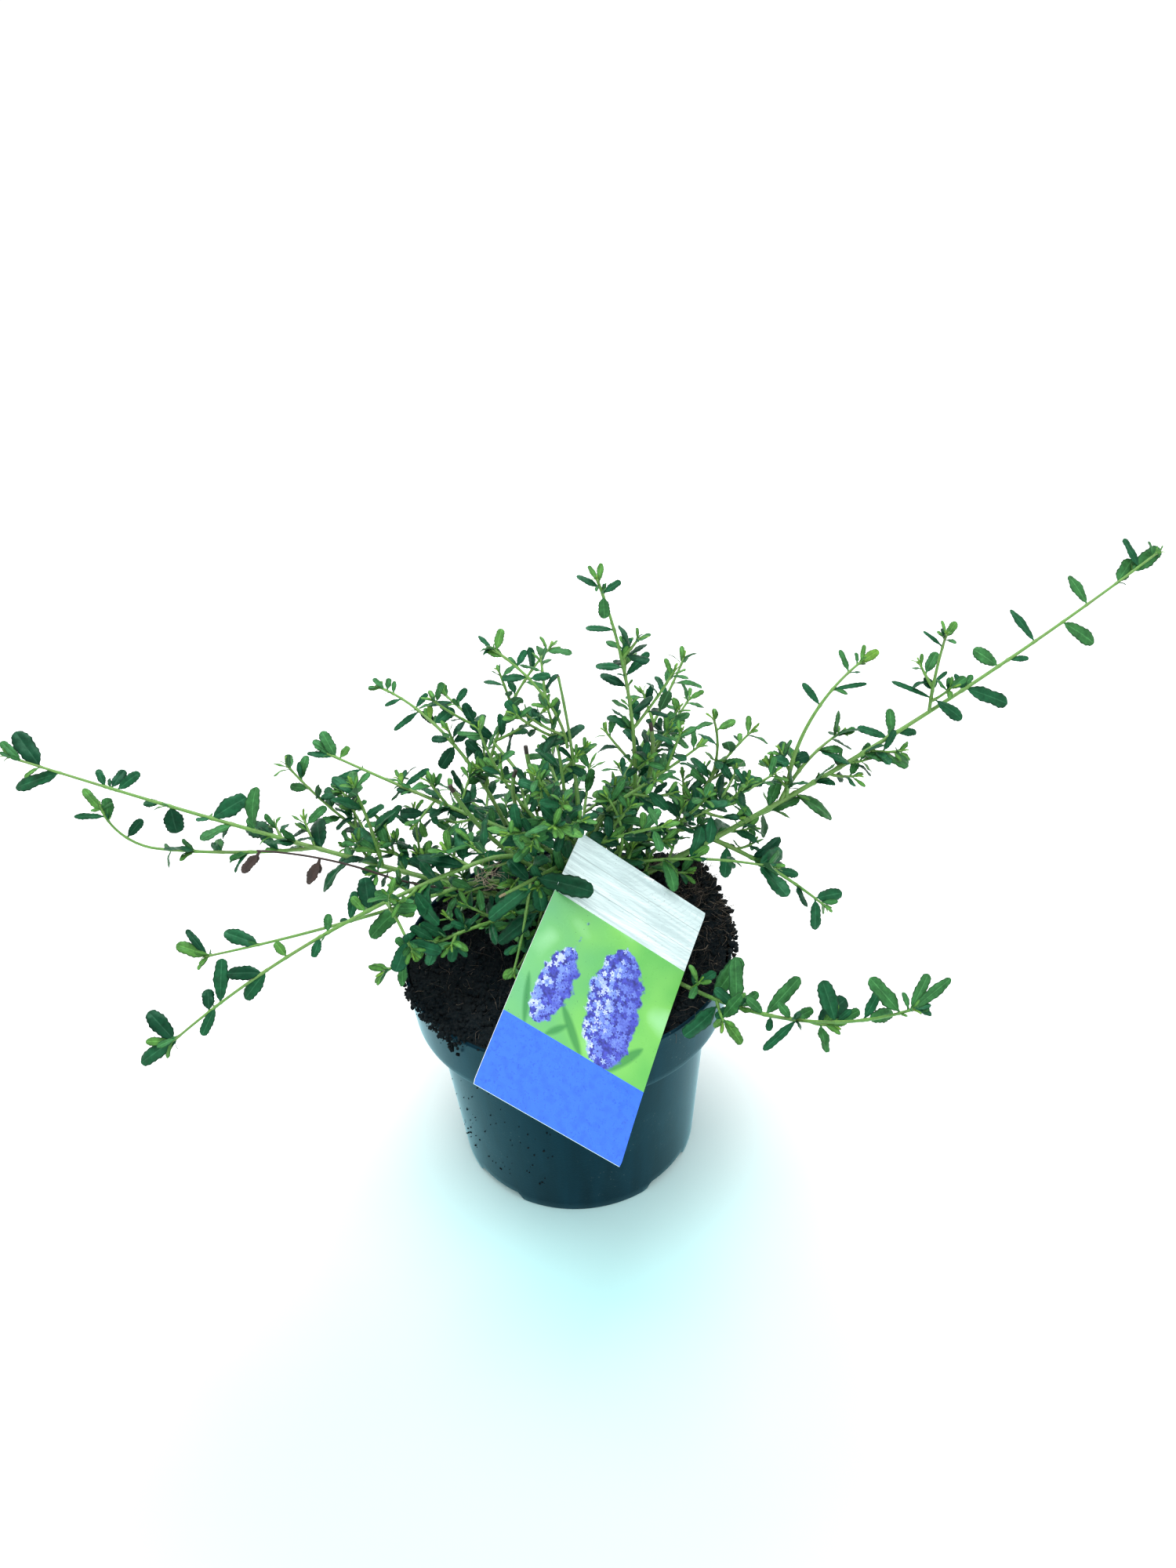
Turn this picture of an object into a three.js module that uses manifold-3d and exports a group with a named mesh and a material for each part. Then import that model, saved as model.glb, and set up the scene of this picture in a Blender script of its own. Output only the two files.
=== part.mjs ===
// A young california lilac in its nursery pot, with the plastic plant label that stands in it.
// Millimetres, +Z up. The origin is the centre of the pot's flat underside and +Y points to the back.
//
// Every stem of the shrub is worked out by one rule. A shoot leaves its foot with a heading, measured
// from +X towards +Y, and a lift above the horizontal that changes evenly along each of its stretches.
// The leader carries the boughs, a bough ends where its leaves begin, and a mass of leaves grows on
// from there: one stem, its side shoots, seeded spurs, and leaves set round each of them in a spiral.

import * as THREE from 'three';
import Module from 'manifold-3d';
import { mergeVertices } from 'three/addons/utils/BufferGeometryUtils.js';

// ---------------------------------------------------------------- driving dimensions

const CLEARANCE = 0.3; // left between neighbours that touch

const POT = {
  height: 130,
  rimRadius: 85,
  bandHeight: 30, // the wider band below the rim
  bandFootRadius: 82.5,
  shoulderRadius: 73.5, // the body under the band
  baseRadius: 65,
  wall: 1.6,
  floor: 7,
  sides: 48,
  notches: 4,
  notchHeading: 47,
  notchSpread: 28, // degrees
  notchHeight: 5,
  notchDepth: 4,
};

const SOIL = {
  level: 126, // against the wall at the front
  foot: new THREE.Vector2(0, 8), // where the leader stands
  footLevel: 137.7,
  footRadius: 9,
  footSpread: 40,
  mound: new THREE.Vector2(64, 28), // the root ball has lifted on this side
  moundHeight: 23,
  moundSpread: 25,
  lump: 1.3,
  sides: 36,
  rings: 7,
};

const LABEL = {
  width: 77,
  length: 135,
  thickness: 0.8,
  bow: 2.5,
  centre: new THREE.Vector3(14, -67, 155.3),
  across: new THREE.Vector3(60.5, -8, -48), // direction of its top edge
  down: new THREE.Vector3(-50, -118, -44), // direction from its top edge to its lower edge
  stakeWidth: 11,
  stakeFoot: new THREE.Vector3(30, 6, 135), // where it enters the soil
  stakeDepth: 14, // below that
};

const LEADER = {
  heading: 10,
  lifts: [72, 90, 98],
  stretches: [63, 84],
  girth: 10,
  tipGirth: 1.8,
  flare: 1.5,
  below: 3, // its curve starts this far under the flat cut at the soil
};
const LEADER_TAPER = 3; // above 1 the leader thins faster near its foot

// Cut stubs of older shoots, fused to the leader: heading, height of the foot above the soil, lifts.
const STUBS = [
  { heading: 160, foot: 50, lifts: [-10, 69, 87], stretches: [20, 44], girth: 2.6 },
  { heading: 175, foot: 42, lifts: [10, 41, 110], stretches: [20, 46], girth: 2.4 },
  { heading: 165, foot: 24, lifts: [10, 32, 69], stretches: [30, 56], girth: 2.8 },
  { heading: 21, foot: 38, lifts: [8, 59, 100], stretches: [40, 50], girth: 2.6 },
];

// The shoots. foot is the height of the shoot's foot above the soil, up the leader. lifts are its
// lift at the foot, where the bough ends, and at the tip. A side shoot leaves the stem of the mass
// at the distance along it that is given first.
const OPEN = { pitch: 18, leaf: 23, spurs: 0.15, spurLength: 14 };
const DENSE = { pitch: 14, leaf: 20, spurs: 0.45, spurLength: 26 };

// Long outer growth, with open leaves.
const OPEN_SHOOTS = [
  {
    name: 'left_long', heading: 172, foot: 10, lifts: [6, 16, 20], bough: 60, mass: 235, girth: 3.4,
    sides: [
      { at: 72, heading: 174, lifts: [-8, 6, 90], stretches: [85, 40] },
      { at: 36, heading: 160, lifts: [85, 73], stretches: [50] },
    ],
  },
  { name: 'left_low_far', heading: 188, foot: 6, lifts: [70, -14, -4], bough: 60, mass: 146, girth: 2.6 },
  {
    name: 'left_low_near', heading: 196, foot: 17, lifts: [88, -10, -37], bough: 60, mass: 191, girth: 2.8,
    sides: [{ at: 50, heading: 295, lifts: [10, -25], stretches: [38] }],
  },
  {
    name: 'right_long', heading: 14, foot: 10, lifts: [16, 21, 33], bough: 70, mass: 275, girth: 3.6,
    sides: [
      { at: 6, heading: 340, lifts: [-18, -38], stretches: [69] },
      { at: 50, heading: 25, lifts: [92, 25], stretches: [85] },
      { at: 46, heading: 28, lifts: [62, 13], stretches: [50] },
      { at: 136, heading: 0, lifts: [90, 80], stretches: [44] },
    ],
  },
  { name: 'right_thin', heading: 352, foot: 19, lifts: [56, 9, -12], bough: 40, mass: 63, girth: 2.0 },
  { name: 'right_low', heading: 316, foot: 9, lifts: [-22, 8, 53], bough: 84, mass: 140, girth: 2.6 },
  { name: 'front_hanging', heading: 225, foot: 36, lifts: [23, -67, -31], bough: 0, mass: 65, girth: 2.0 },
];

// Shorter growth of the crown, with dense leaves.
const DENSE_SHOOTS = [
  { name: 'front_left', heading: 212, foot: 10, lifts: [23, 10, -13], bough: 40, mass: 63, girth: 2.4 },
  { name: 'upper_left', heading: 156, foot: 36, lifts: [23, 13, 16], bough: 45, mass: 106, girth: 2.8 },
  { name: 'left_mid', heading: 161, foot: 17, lifts: [-25, 14, 53], bough: 60, mass: 115, girth: 2.6 },
  {
    name: 'back_left', heading: 137, foot: 24, lifts: [-17, 60, -3], bough: 55, mass: 111, girth: 2.8,
    sides: [{ at: 19, heading: 35, lifts: [78, 32], stretches: [84] }],
  },
  { name: 'rear_left', heading: 131, foot: 29, lifts: [73, 36, 12], bough: 45, mass: 80, girth: 2.4 },
  { name: 'middle_left', heading: 152, foot: 44, lifts: [20, 42, 75], bough: 25, mass: 56, girth: 2.2 },
  { name: 'middle', heading: 165, foot: 62, lifts: [71, 88, 77], bough: 0, mass: 66, girth: 2.0 },
  { name: 'top_left', heading: 158, foot: 105, lifts: [85, 60, 27], bough: 0, mass: 62, girth: 1.6 },
  { name: 'tall', heading: 28, foot: 30, lifts: [-5, 85, 110], bough: 45, mass: 138, girth: 2.6 },
  { name: 'rear_right_high', heading: 47, foot: 40, lifts: [44, 39, 49], bough: 50, mass: 64, girth: 2.4 },
  { name: 'rear_right_low', heading: 50, foot: 22, lifts: [46, 31, 26], bough: 50, mass: 69, girth: 2.4 },
  {
    name: 'right_upright', heading: 24, foot: 18, lifts: [3, 34, 108], bough: 60, mass: 70, girth: 2.6,
    sides: [{ at: 10, heading: 20, lifts: [66, 35], stretches: [56] }],
  },
  { name: 'right_mid', heading: 7, foot: 27, lifts: [45, 16, 32], bough: 50, mass: 61, girth: 2.4 },
  { name: 'right_upper', heading: 12, foot: 48, lifts: [75, 27, 33], bough: 30, mass: 47, girth: 2.2 },
  { name: 'front_up', heading: 345, foot: 30, lifts: [-9, 66, 123], bough: 0, mass: 62, girth: 2.0 },
  { name: 'back_low', heading: 95, foot: 12, lifts: [28, 8, -22], bough: 45, mass: 92, girth: 2.6 },
  { name: 'back_right_low', heading: 66, foot: 6, lifts: [34, 8, -20], bough: 45, mass: 95, girth: 2.6 },
  { name: 'back_left_low', heading: 122, foot: 7, lifts: [30, 6, -16], bough: 45, mass: 88, girth: 2.6 },
];

// Short leafy growth that fills the crown round the leader.
const INNER = {
  feet: [
    [228, 50],
    [256, 60],
    [325, 44],
    [80, 34],
    [108, 44],
  ], // heading and height above the soil
  lifts: [48, 36, 26],
  length: 56,
  girth: 2,
};

const DEAD_TWIG = {
  heading: 184,
  foot: 30,
  lifts: [-16, 30, 10],
  stretches: [100, 60],
  girth: 1.8,
  leaf: 16,
  leafShares: [0.72, 0.98],
};

const STEP = 4; // length of the straight pieces that a shoot is summed from
const LIMB_SIDES = 5;
const TWIG_SIDES = 3;
const TWIG_STRETCH = 16; // longest straight piece of a leafy stem
const TWIG_SAG = 0.3; // and how far it may leave the curve
const TRIED_LENGTH = 8; // of a shoot, when it is set against the leader
const TIP_GIRTH = 1.2;
const SPIRAL = 137.5; // degrees from one leaf to the next
const LEAF_SPREAD = 52; // degrees between a leaf and its stem
const LEAF_SHAPE = 0.44; // width for its length
const LEAF_THICKNESS = 0.9;
const LEAF_SUNK = 0.5; // how far a leaf's root passes the middle of its stem
const LEAF_MARGIN = 0.8; // added to a leaf's sizes when it is tried against its neighbours
const LIGHT = new THREE.Vector3(0, -0.4, 0.9); // the blades turn up to it
const LEAF_OUTER = 0.3; // from this share of its length outwards a leaf keeps clear of its own mass
const TUFT_LEAVES = 2; // small leaves round each tip

// ---------------------------------------------------------------- materials

const MATERIALS = {
  pot: new THREE.MeshStandardMaterial({ color: 0x14262a, roughness: 0.42, metalness: 0 }),
  soil: new THREE.MeshStandardMaterial({ color: 0x1d1712, roughness: 0.98, metalness: 0 }),
  label: new THREE.MeshStandardMaterial({ color: 0x9fb7c4, roughness: 0.4, metalness: 0 }),
  wood: new THREE.MeshStandardMaterial({ color: 0x6a5f45, roughness: 0.8, metalness: 0 }),
  stem: new THREE.MeshStandardMaterial({ color: 0x6f9a4c, roughness: 0.6, metalness: 0 }),
  leaf: new THREE.MeshStandardMaterial({ color: 0x1f5a3c, roughness: 0.4, metalness: 0 }),
  dead: new THREE.MeshStandardMaterial({ color: 0x3d2a20, roughness: 0.8, metalness: 0 }),
};

// ---------------------------------------------------------------- solids

const wasm = await Module();
wasm.setup();

// A closed geometry as a solid that can be joined, cut and compared.
function solidOf(geometry) {
  const bare = geometry.clone();
  bare.deleteAttribute('normal');
  bare.deleteAttribute('uv');
  const merged = mergeVertices(bare, 1e-4);
  const vertProperties = new Float32Array(merged.attributes.position.array);
  const triVerts = new Uint32Array(merged.index.array);
  return new wasm.Manifold(new wasm.Mesh({ numProp: 3, vertProperties, triVerts }));
}

function geometryOf(solid) {
  const mesh = solid.getMesh();
  const geometry = new THREE.BufferGeometry();
  geometry.setAttribute('position', new THREE.BufferAttribute(new Float32Array(mesh.vertProperties), 3));
  geometry.setIndex(new THREE.BufferAttribute(new Uint32Array(mesh.triVerts), 1));
  geometry.computeVertexNormals();
  return geometry;
}

const model = new THREE.Group();

function addMesh(name, solid, material) {
  const mesh = new THREE.Mesh(geometryOf(solid), material);
  mesh.name = name;
  model.add(mesh);
}

// Everything placed so far, as small solids with their boxes, so that leaves can keep clear of it.
const placed = [];

function boxesMeet(a, b) {
  return [0, 1, 2].every((axis) => a.min[axis] <= b.max[axis] && b.min[axis] <= a.max[axis]);
}

function place(owner, solid) {
  placed.push({ owner, solid, box: solid.boundingBox() });
}

// True where a solid touches none of the placed pieces that the test takes in.
function isFree(solid, takesIn) {
  const box = solid.boundingBox();
  return placed.every(
    (other) => !takesIn(other.owner) || !boxesMeet(box, other.box) || solid.intersect(other.solid).isEmpty(),
  );
}

// Numbers from 0 to 1 that are the same on every run.
function seeded(seed) {
  let state = seed >>> 0;
  return () => {
    state = (state + 0x6d2b79f5) >>> 0;
    let mixed = Math.imul(state ^ (state >>> 15), 1 | state);
    mixed = (mixed + Math.imul(mixed ^ (mixed >>> 7), 61 | mixed)) ^ mixed;
    return ((mixed ^ (mixed >>> 14)) >>> 0) / 4294967296;
  };
}

// ---------------------------------------------------------------- pot, root ball and label

const radians = THREE.MathUtils.degToRad;

function potProfile() {
  const { wall, floor, height, bandHeight } = POT;
  const bandFoot = height - bandHeight;
  return [
    [0, 0],
    [POT.baseRadius, 0],
    [POT.shoulderRadius, bandFoot],
    [POT.bandFootRadius, bandFoot],
    [POT.rimRadius, height],
    [POT.rimRadius - wall, height],
    [POT.bandFootRadius - wall, bandFoot + wall],
    [POT.shoulderRadius - wall, bandFoot + wall],
    [POT.baseRadius - wall, floor],
    [0, floor],
  ].map(([radius, z]) => new THREE.Vector2(radius, z));
}

function turned(profile, sides) {
  return new THREE.LatheGeometry(profile, sides).rotateX(Math.PI / 2);
}

function buildPot() {
  let pot = solidOf(turned(potProfile(), POT.sides));
  const chord = 2 * POT.baseRadius * Math.sin(radians(POT.notchSpread / 2));
  for (let i = 0; i < POT.notches; i += 1) {
    const heading = radians(POT.notchHeading + (i * 360) / POT.notches);
    const cutter = new THREE.BoxGeometry(2 * POT.notchDepth, chord, 2 * POT.notchHeight);
    cutter.translate(POT.baseRadius * Math.cos(radians(POT.notchSpread / 2)), 0, 0).rotateZ(heading);
    pot = pot.subtract(solidOf(cutter));
  }
  return pot;
}

// Radius of the pot's inner wall at a height.
function innerRadius(z) {
  const bandFoot = POT.height - POT.bandHeight + POT.wall;
  if (z >= bandFoot) {
    const share = (z - bandFoot) / (POT.height - bandFoot);
    return THREE.MathUtils.lerp(POT.bandFootRadius, POT.rimRadius, share) - POT.wall;
  }
  const share = (z - POT.floor) / (bandFoot - POT.floor);
  return THREE.MathUtils.lerp(POT.baseRadius, POT.shoulderRadius, share) - POT.wall;
}

// Height of the soil: it rises to the foot of the plant, and on one side the root ball stands proud.
function soilHeight(x, y) {
  const fromFoot = Math.hypot(x - SOIL.foot.x, y - SOIL.foot.y);
  const fromMound = Math.hypot(x - SOIL.mound.x, y - SOIL.mound.y);
  const rise = (SOIL.footLevel - SOIL.level) * Math.exp(-0.5 * (fromFoot / SOIL.footSpread) ** 2);
  const mound = SOIL.moundHeight * Math.exp(-0.5 * (fromMound / SOIL.moundSpread) ** 2);
  const lumps = SOIL.lump * (Math.sin(x / 5 + 1) * Math.cos(y / 6) + Math.sin((x + y) / 9));
  const level = SOIL.level + rise + mound + lumps;
  if (fromFoot > 2.5 * SOIL.footRadius) return level;
  const settled = THREE.MathUtils.smoothstep(fromFoot, SOIL.footRadius, 2 * SOIL.footRadius);
  return THREE.MathUtils.lerp(SOIL.footLevel, Math.min(level, SOIL.footLevel), settled);
}

function buildRootBall() {
  const bandFoot = POT.height - POT.bandHeight + POT.wall;
  const bottom = POT.floor + CLEARANCE;
  const top = SOIL.level;
  const edge = innerRadius(top) - CLEARANCE;
  const profile = [
    [0, bottom],
    [innerRadius(bottom) - CLEARANCE, bottom],
    [innerRadius(bandFoot - 0.01) - CLEARANCE, bandFoot + CLEARANCE],
    [innerRadius(bandFoot) - CLEARANCE, bandFoot + CLEARANCE],
    [edge, top],
  ];
  for (let ring = SOIL.rings - 1; ring >= 0; ring -= 1) profile.push([(edge * ring) / SOIL.rings, top]);
  const points = profile.map(([radius, z]) => new THREE.Vector2(radius, z));
  const geometry = turned(points, SOIL.sides);
  const position = geometry.attributes.position;
  for (let i = 0; i < position.count; i += 1) {
    const isTop = position.getZ(i) > top - 0.01;
    if (isTop) position.setZ(i, soilHeight(position.getX(i), position.getY(i)));
  }
  return solidOf(geometry).subtract(buildStake(CLEARANCE));
}

function labelFrame() {
  const across = LABEL.across.clone().normalize();
  const down = LABEL.down.clone().addScaledVector(across, -LABEL.down.dot(across)).normalize();
  const face = new THREE.Vector3().crossVectors(down, across);
  return { across, down, face };
}

// The stake folds back from the card's top edge and runs down into the soil.
function buildStake(margin = 0) {
  const { across, down, face } = labelFrame();
  const fold = LABEL.centre.clone().addScaledVector(down, 1.5 - LABEL.length / 2);
  fold.addScaledVector(face, LABEL.bow);
  const run = new THREE.Vector3().subVectors(LABEL.stakeFoot, fold);
  const stakeDown = run.clone().normalize();
  run.addScaledVector(stakeDown, LABEL.stakeDepth + margin);
  const stakeFace = new THREE.Vector3().crossVectors(across, stakeDown).normalize();
  const stakeAcross = new THREE.Vector3().crossVectors(stakeDown, stakeFace);
  const breadth = LABEL.stakeWidth + 2 * margin;
  const stake = new THREE.BoxGeometry(breadth, run.length(), 2 * (LABEL.thickness + margin));
  stake.applyMatrix4(new THREE.Matrix4().makeBasis(stakeAcross, stakeDown, stakeFace));
  const middle = fold.addScaledVector(run, 0.5);
  stake.translate(middle.x, middle.y, middle.z);
  return solidOf(stake);
}

// The card is slightly bowed along its length.
function buildLabel() {
  const { across, down, face } = labelFrame();
  const card = new THREE.BoxGeometry(LABEL.width, LABEL.length, LABEL.thickness, 1, 6, 1);
  const position = card.attributes.position;
  for (let i = 0; i < position.count; i += 1) {
    const share = (2 * position.getY(i)) / LABEL.length;
    position.setZ(i, position.getZ(i) + LABEL.bow * share * share);
  }
  card.applyMatrix4(new THREE.Matrix4().makeBasis(across, down.clone().negate(), face));
  card.translate(LABEL.centre.x, LABEL.centre.y, LABEL.centre.z);
  return solidOf(card).add(buildStake());
}

// ---------------------------------------------------------------- shoots

// A shoot summed from short straight steps. Its frame at any distance has the point, the direction
// along the shoot, a level direction to its side and one that points up from it.
class Shoot {
  constructor({ start, heading, lifts, stretches, girth, tipGirth = TIP_GIRTH }) {
    this.length = stretches.reduce((sum, stretch) => sum + stretch, 0);
    this.heading = radians(heading);
    this.lifts = lifts;
    this.stretches = stretches;
    this.girth = girth;
    this.tipGirth = tipGirth;
    this.steps = Math.max(4, Math.round(this.length / STEP));
    this.points = [start.clone()];
    for (let i = 0; i < this.steps; i += 1) {
      const middle = ((i + 0.5) * this.length) / this.steps;
      const next = this.points[i].clone().addScaledVector(this.along(middle), this.length / this.steps);
      this.points.push(next);
    }
  }

  lift(distance) {
    let passed = 0;
    let stretch = 0;
    while (stretch < this.stretches.length - 1 && distance > passed + this.stretches[stretch]) {
      passed += this.stretches[stretch];
      stretch += 1;
    }
    const share = (distance - passed) / this.stretches[stretch];
    return radians(THREE.MathUtils.lerp(this.lifts[stretch], this.lifts[stretch + 1], share));
  }

  along(distance) {
    const lift = this.lift(distance);
    const level = Math.cos(lift);
    return new THREE.Vector3(Math.cos(this.heading) * level, Math.sin(this.heading) * level, Math.sin(lift));
  }

  point(distance) {
    const place = THREE.MathUtils.clamp((distance / this.length) * this.steps, 0, this.steps);
    const step = Math.min(Math.floor(place), this.steps - 1);
    return this.points[step].clone().lerp(this.points[step + 1], place - step);
  }

  radius(distance) {
    return THREE.MathUtils.lerp(this.girth, this.tipGirth, distance / this.length) / 2;
  }

  frame(distance) {
    const along = this.along(distance);
    const side = new THREE.Vector3(Math.sin(this.heading), -Math.cos(this.heading), 0);
    return { point: this.point(distance), along, side, up: new THREE.Vector3().crossVectors(side, along) };
  }
}

// The longest straight pieces that keep a stem close to its curve.
function twigSpacing(shoot) {
  const bends = shoot.stretches.map((stretch, i) => Math.abs(shoot.lifts[i + 1] - shoot.lifts[i]) / stretch);
  const sharpest = Math.max(radians(Math.max(...bends)), 1e-6);
  return Math.min(TWIG_STRETCH, Math.sqrt((8 * TWIG_SAG) / sharpest));
}

// The tapering solid of a shoot between two distances along it, with flat ends.
function limb(shoot, from, to, sides, spacing, radiusAt = (distance) => shoot.radius(distance)) {
  const rings = Math.max(1, Math.round((to - from) / spacing));
  const corners = [];
  for (let ring = 0; ring <= rings; ring += 1) {
    const distance = from + ((to - from) * ring) / rings;
    const { point, side, up } = shoot.frame(distance);
    for (let k = 0; k < sides; k += 1) {
      const turn = (2 * Math.PI * k) / sides;
      const radius = radiusAt(distance);
      const corner = point.clone();
      corner.addScaledVector(side, radius * Math.cos(turn)).addScaledVector(up, radius * Math.sin(turn));
      corners.push(corner);
    }
  }
  const faces = [];
  for (let ring = 0; ring < rings; ring += 1) {
    for (let k = 0; k < sides; k += 1) {
      const a = ring * sides + k;
      const b = ring * sides + ((k + 1) % sides);
      faces.push(a, a + sides, b, b, a + sides, b + sides);
    }
  }
  const last = rings * sides;
  for (let k = 1; k < sides - 1; k += 1) faces.push(0, k, k + 1, last, last + k + 1, last + k);
  const geometry = new THREE.BufferGeometry().setFromPoints(corners).setIndex(faces);
  return solidOf(geometry);
}

const leader = new Shoot({
  start: new THREE.Vector3(SOIL.foot.x, SOIL.foot.y, SOIL.footLevel + CLEARANCE - LEADER.below),
  ...LEADER,
});

function onLeader(height) {
  return leader.point(height + LEADER.below);
}

function leaderRadius(height) {
  const left = 1 - height / (leader.length - LEADER.below);
  const girth = THREE.MathUtils.lerp(LEADER.tipGirth, LEADER.girth, left ** LEADER_TAPER);
  return (girth / 2) * (1 + (LEADER.flare - 1) * Math.exp(-height / 5));
}

function buildLeader() {
  const radiusAt = (distance) => leaderRadius(distance - LEADER.below);
  const parts = [limb(leader, 0, leader.length, 8, 9, radiusAt)];
  for (const stub of STUBS) {
    const start = onLeader(stub.foot);
    const shoot = new Shoot({ start, ...stub, tipGirth: stub.girth * 0.8 });
    parts.push(limb(shoot, 0, shoot.length, LIMB_SIDES, 12));
  }
  return wasm.Manifold.union(parts).trimByPlane([0, 0, 1], SOIL.footLevel + CLEARANCE);
}

const leaderSolid = buildLeader();

// A shoot that starts beside the leader. It is tried a little way off, and then moved in until only
// the gap between neighbours is left.
function shootFromLeader({ heading, foot, lifts, stretches, girth }, sides) {
  const outward = new THREE.Vector3(Math.cos(radians(heading)), Math.sin(radians(heading)), 0);
  const start = onLeader(foot).addScaledVector(outward, leaderRadius(foot) + girth);
  const away = new Shoot({ start, heading, lifts, stretches, girth });
  const tried = limb(away, 0, TRIED_LENGTH, sides, TRIED_LENGTH);
  start.addScaledVector(outward, CLEARANCE - tried.minGap(leaderSolid, leader.length));
  return new Shoot({ start, heading, lifts, stretches, girth });
}

// ---------------------------------------------------------------- leaves

// A leaf is a thin lozenge with its blade turned up towards the light. It starts at the share of its
// length that is given, so that its outer part can be tried by itself.
function leaf(root, direction, face, length, margin = 0, start = 0) {
  const blade = new THREE.OctahedronGeometry(1);
  const width = length * LEAF_SHAPE;
  blade.scale(((1 - start) * length + margin) / 2, (width + margin) / 2, (LEAF_THICKNESS + margin) / 2);
  blade.translate(((1 + start) * length) / 2 - LEAF_SUNK, 0, 0);
  const across = new THREE.Vector3().crossVectors(face, direction).normalize();
  const normal = new THREE.Vector3().crossVectors(direction, across);
  blade.applyMatrix4(new THREE.Matrix4().makeBasis(direction, across, normal));
  blade.translate(root.x, root.y, root.z);
  return solidOf(blade);
}

// Adds a leaf to a mass unless it would touch another piece.
function addLeaf(mass, shoot, distance, turn, spread, length) {
  const { point, along, side, up } = shoot.frame(distance);
  const outward = side.multiplyScalar(Math.cos(turn)).addScaledVector(up, Math.sin(turn));
  const direction = along.clone().multiplyScalar(Math.cos(spread)).addScaledVector(outward, Math.sin(spread));
  const face = along.multiplyScalar(0.4).addScaledVector(outward, -0.25).add(LIGHT);
  const grown = leaf(point, direction, face, length, LEAF_MARGIN);
  const touchesOther = !isFree(grown, (owner) => owner !== mass.name);
  const outerPart = leaf(point, direction, face, length, 0, LEAF_OUTER);
  if (touchesOther || !isFree(outerPart, (owner) => owner === mass.name)) return;
  const blade = leaf(point, direction, face, length);
  mass.solids.push(blade);
  place(mass.name, blade);
}

function addStem(mass, shoot, from) {
  const stem = limb(shoot, from, shoot.length, TWIG_SIDES, twigSpacing(shoot));
  mass.solids.push(stem);
  place(mass.name, stem);
}

// Leaves in a spiral along a shoot, smaller towards its tip, with a tuft at the tip.
function addLeaves(mass, shoot, first, habit, random) {
  let turn = 2 * Math.PI * random();
  for (let distance = first; distance < shoot.length - 4; distance += habit.pitch * (0.8 + 0.4 * random())) {
    const size = habit.leaf * (0.85 + 0.3 * random()) * (1 - 0.3 * (distance / shoot.length) ** 3);
    const spread = radians(LEAF_SPREAD) * (0.8 + 0.4 * random());
    addLeaf(mass, shoot, distance, turn, spread, size);
    turn += radians(SPIRAL);
  }
  for (let i = 0; i < TUFT_LEAVES; i += 1) {
    const around = turn + (i * 2 * Math.PI) / TUFT_LEAVES;
    addLeaf(mass, shoot, shoot.length - 1.5, around, radians(LEAF_SPREAD) * 0.55, habit.leaf * 0.7);
  }
}

// Short side twigs along a shoot, each with its own leaves.
function addSpurs(mass, shoot, first, habit, random) {
  const found = [];
  let turn = 2 * Math.PI * random();
  for (let distance = first; distance < 0.75 * shoot.length; distance += 1.5 * habit.pitch) {
    turn += radians(SPIRAL);
    const chance = random();
    const length = habit.spurLength * (0.6 + 0.8 * random());
    if (chance > habit.spurs) continue;
    const { point, along, side, up } = shoot.frame(distance);
    const outward = side.multiplyScalar(Math.cos(turn)).addScaledVector(up, Math.sin(turn));
    const direction = along.addScaledVector(outward, 1.1);
    const heading = THREE.MathUtils.radToDeg(Math.atan2(direction.y, direction.x));
    const lift = THREE.MathUtils.radToDeg(Math.atan2(direction.z, Math.hypot(direction.x, direction.y)));
    const spur = new Shoot({
      start: point,
      heading,
      lifts: [lift, THREE.MathUtils.lerp(lift, 70, 0.4)],
      stretches: [length],
      girth: 2 * Math.min(shoot.radius(distance), 0.8),
    });
    const reach = limb(spur, shoot.radius(distance), length, TWIG_SIDES, length);
    if (isFree(reach, (owner) => owner !== mass.name)) found.push(spur);
  }
  return found;
}

// ---------------------------------------------------------------- the shrub

const allShoots = [
  ...OPEN_SHOOTS.map((row) => ({ ...row, habit: OPEN })),
  ...DENSE_SHOOTS.map((row) => ({ ...row, habit: DENSE })),
];
for (const [i, [heading, foot]] of INNER.feet.entries()) {
  allShoots.push({
    name: `inner_${i + 1}`,
    heading,
    foot,
    lifts: INNER.lifts,
    bough: 0,
    mass: INNER.length,
    girth: INNER.girth,
    habit: DENSE,
  });
}

function shootOf({ bough, mass, ...row }) {
  if (bough > 0) return shootFromLeader({ ...row, stretches: [bough, mass] }, LIMB_SIDES);
  return shootFromLeader({ ...row, stretches: [mass / 3, (2 * mass) / 3] }, TWIG_SIDES);
}

function buildDeadTwig() {
  const twig = shootFromLeader(DEAD_TWIG, TWIG_SIDES);
  const hanging = new THREE.Vector3(-0.2, 0, -1).normalize();
  const face = new THREE.Vector3(0.3, -1, 0);
  const parts = [limb(twig, 0, twig.length, TWIG_SIDES, twigSpacing(twig))];
  for (const share of DEAD_TWIG.leafShares) {
    parts.push(leaf(twig.point(share * twig.length), hanging, face, DEAD_TWIG.leaf));
  }
  return wasm.Manifold.union(parts);
}

const pieces = [
  ['pot', buildPot(), MATERIALS.pot],
  ['root_ball', buildRootBall(), MATERIALS.soil],
  ['plant_label', buildLabel(), MATERIALS.label],
  ['leader', leaderSolid, MATERIALS.wood],
  ['dead_twig', buildDeadTwig(), MATERIALS.dead],
];
for (const [name, solid, material] of pieces) {
  place(name, solid);
  addMesh(name, solid, material);
}

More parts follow.
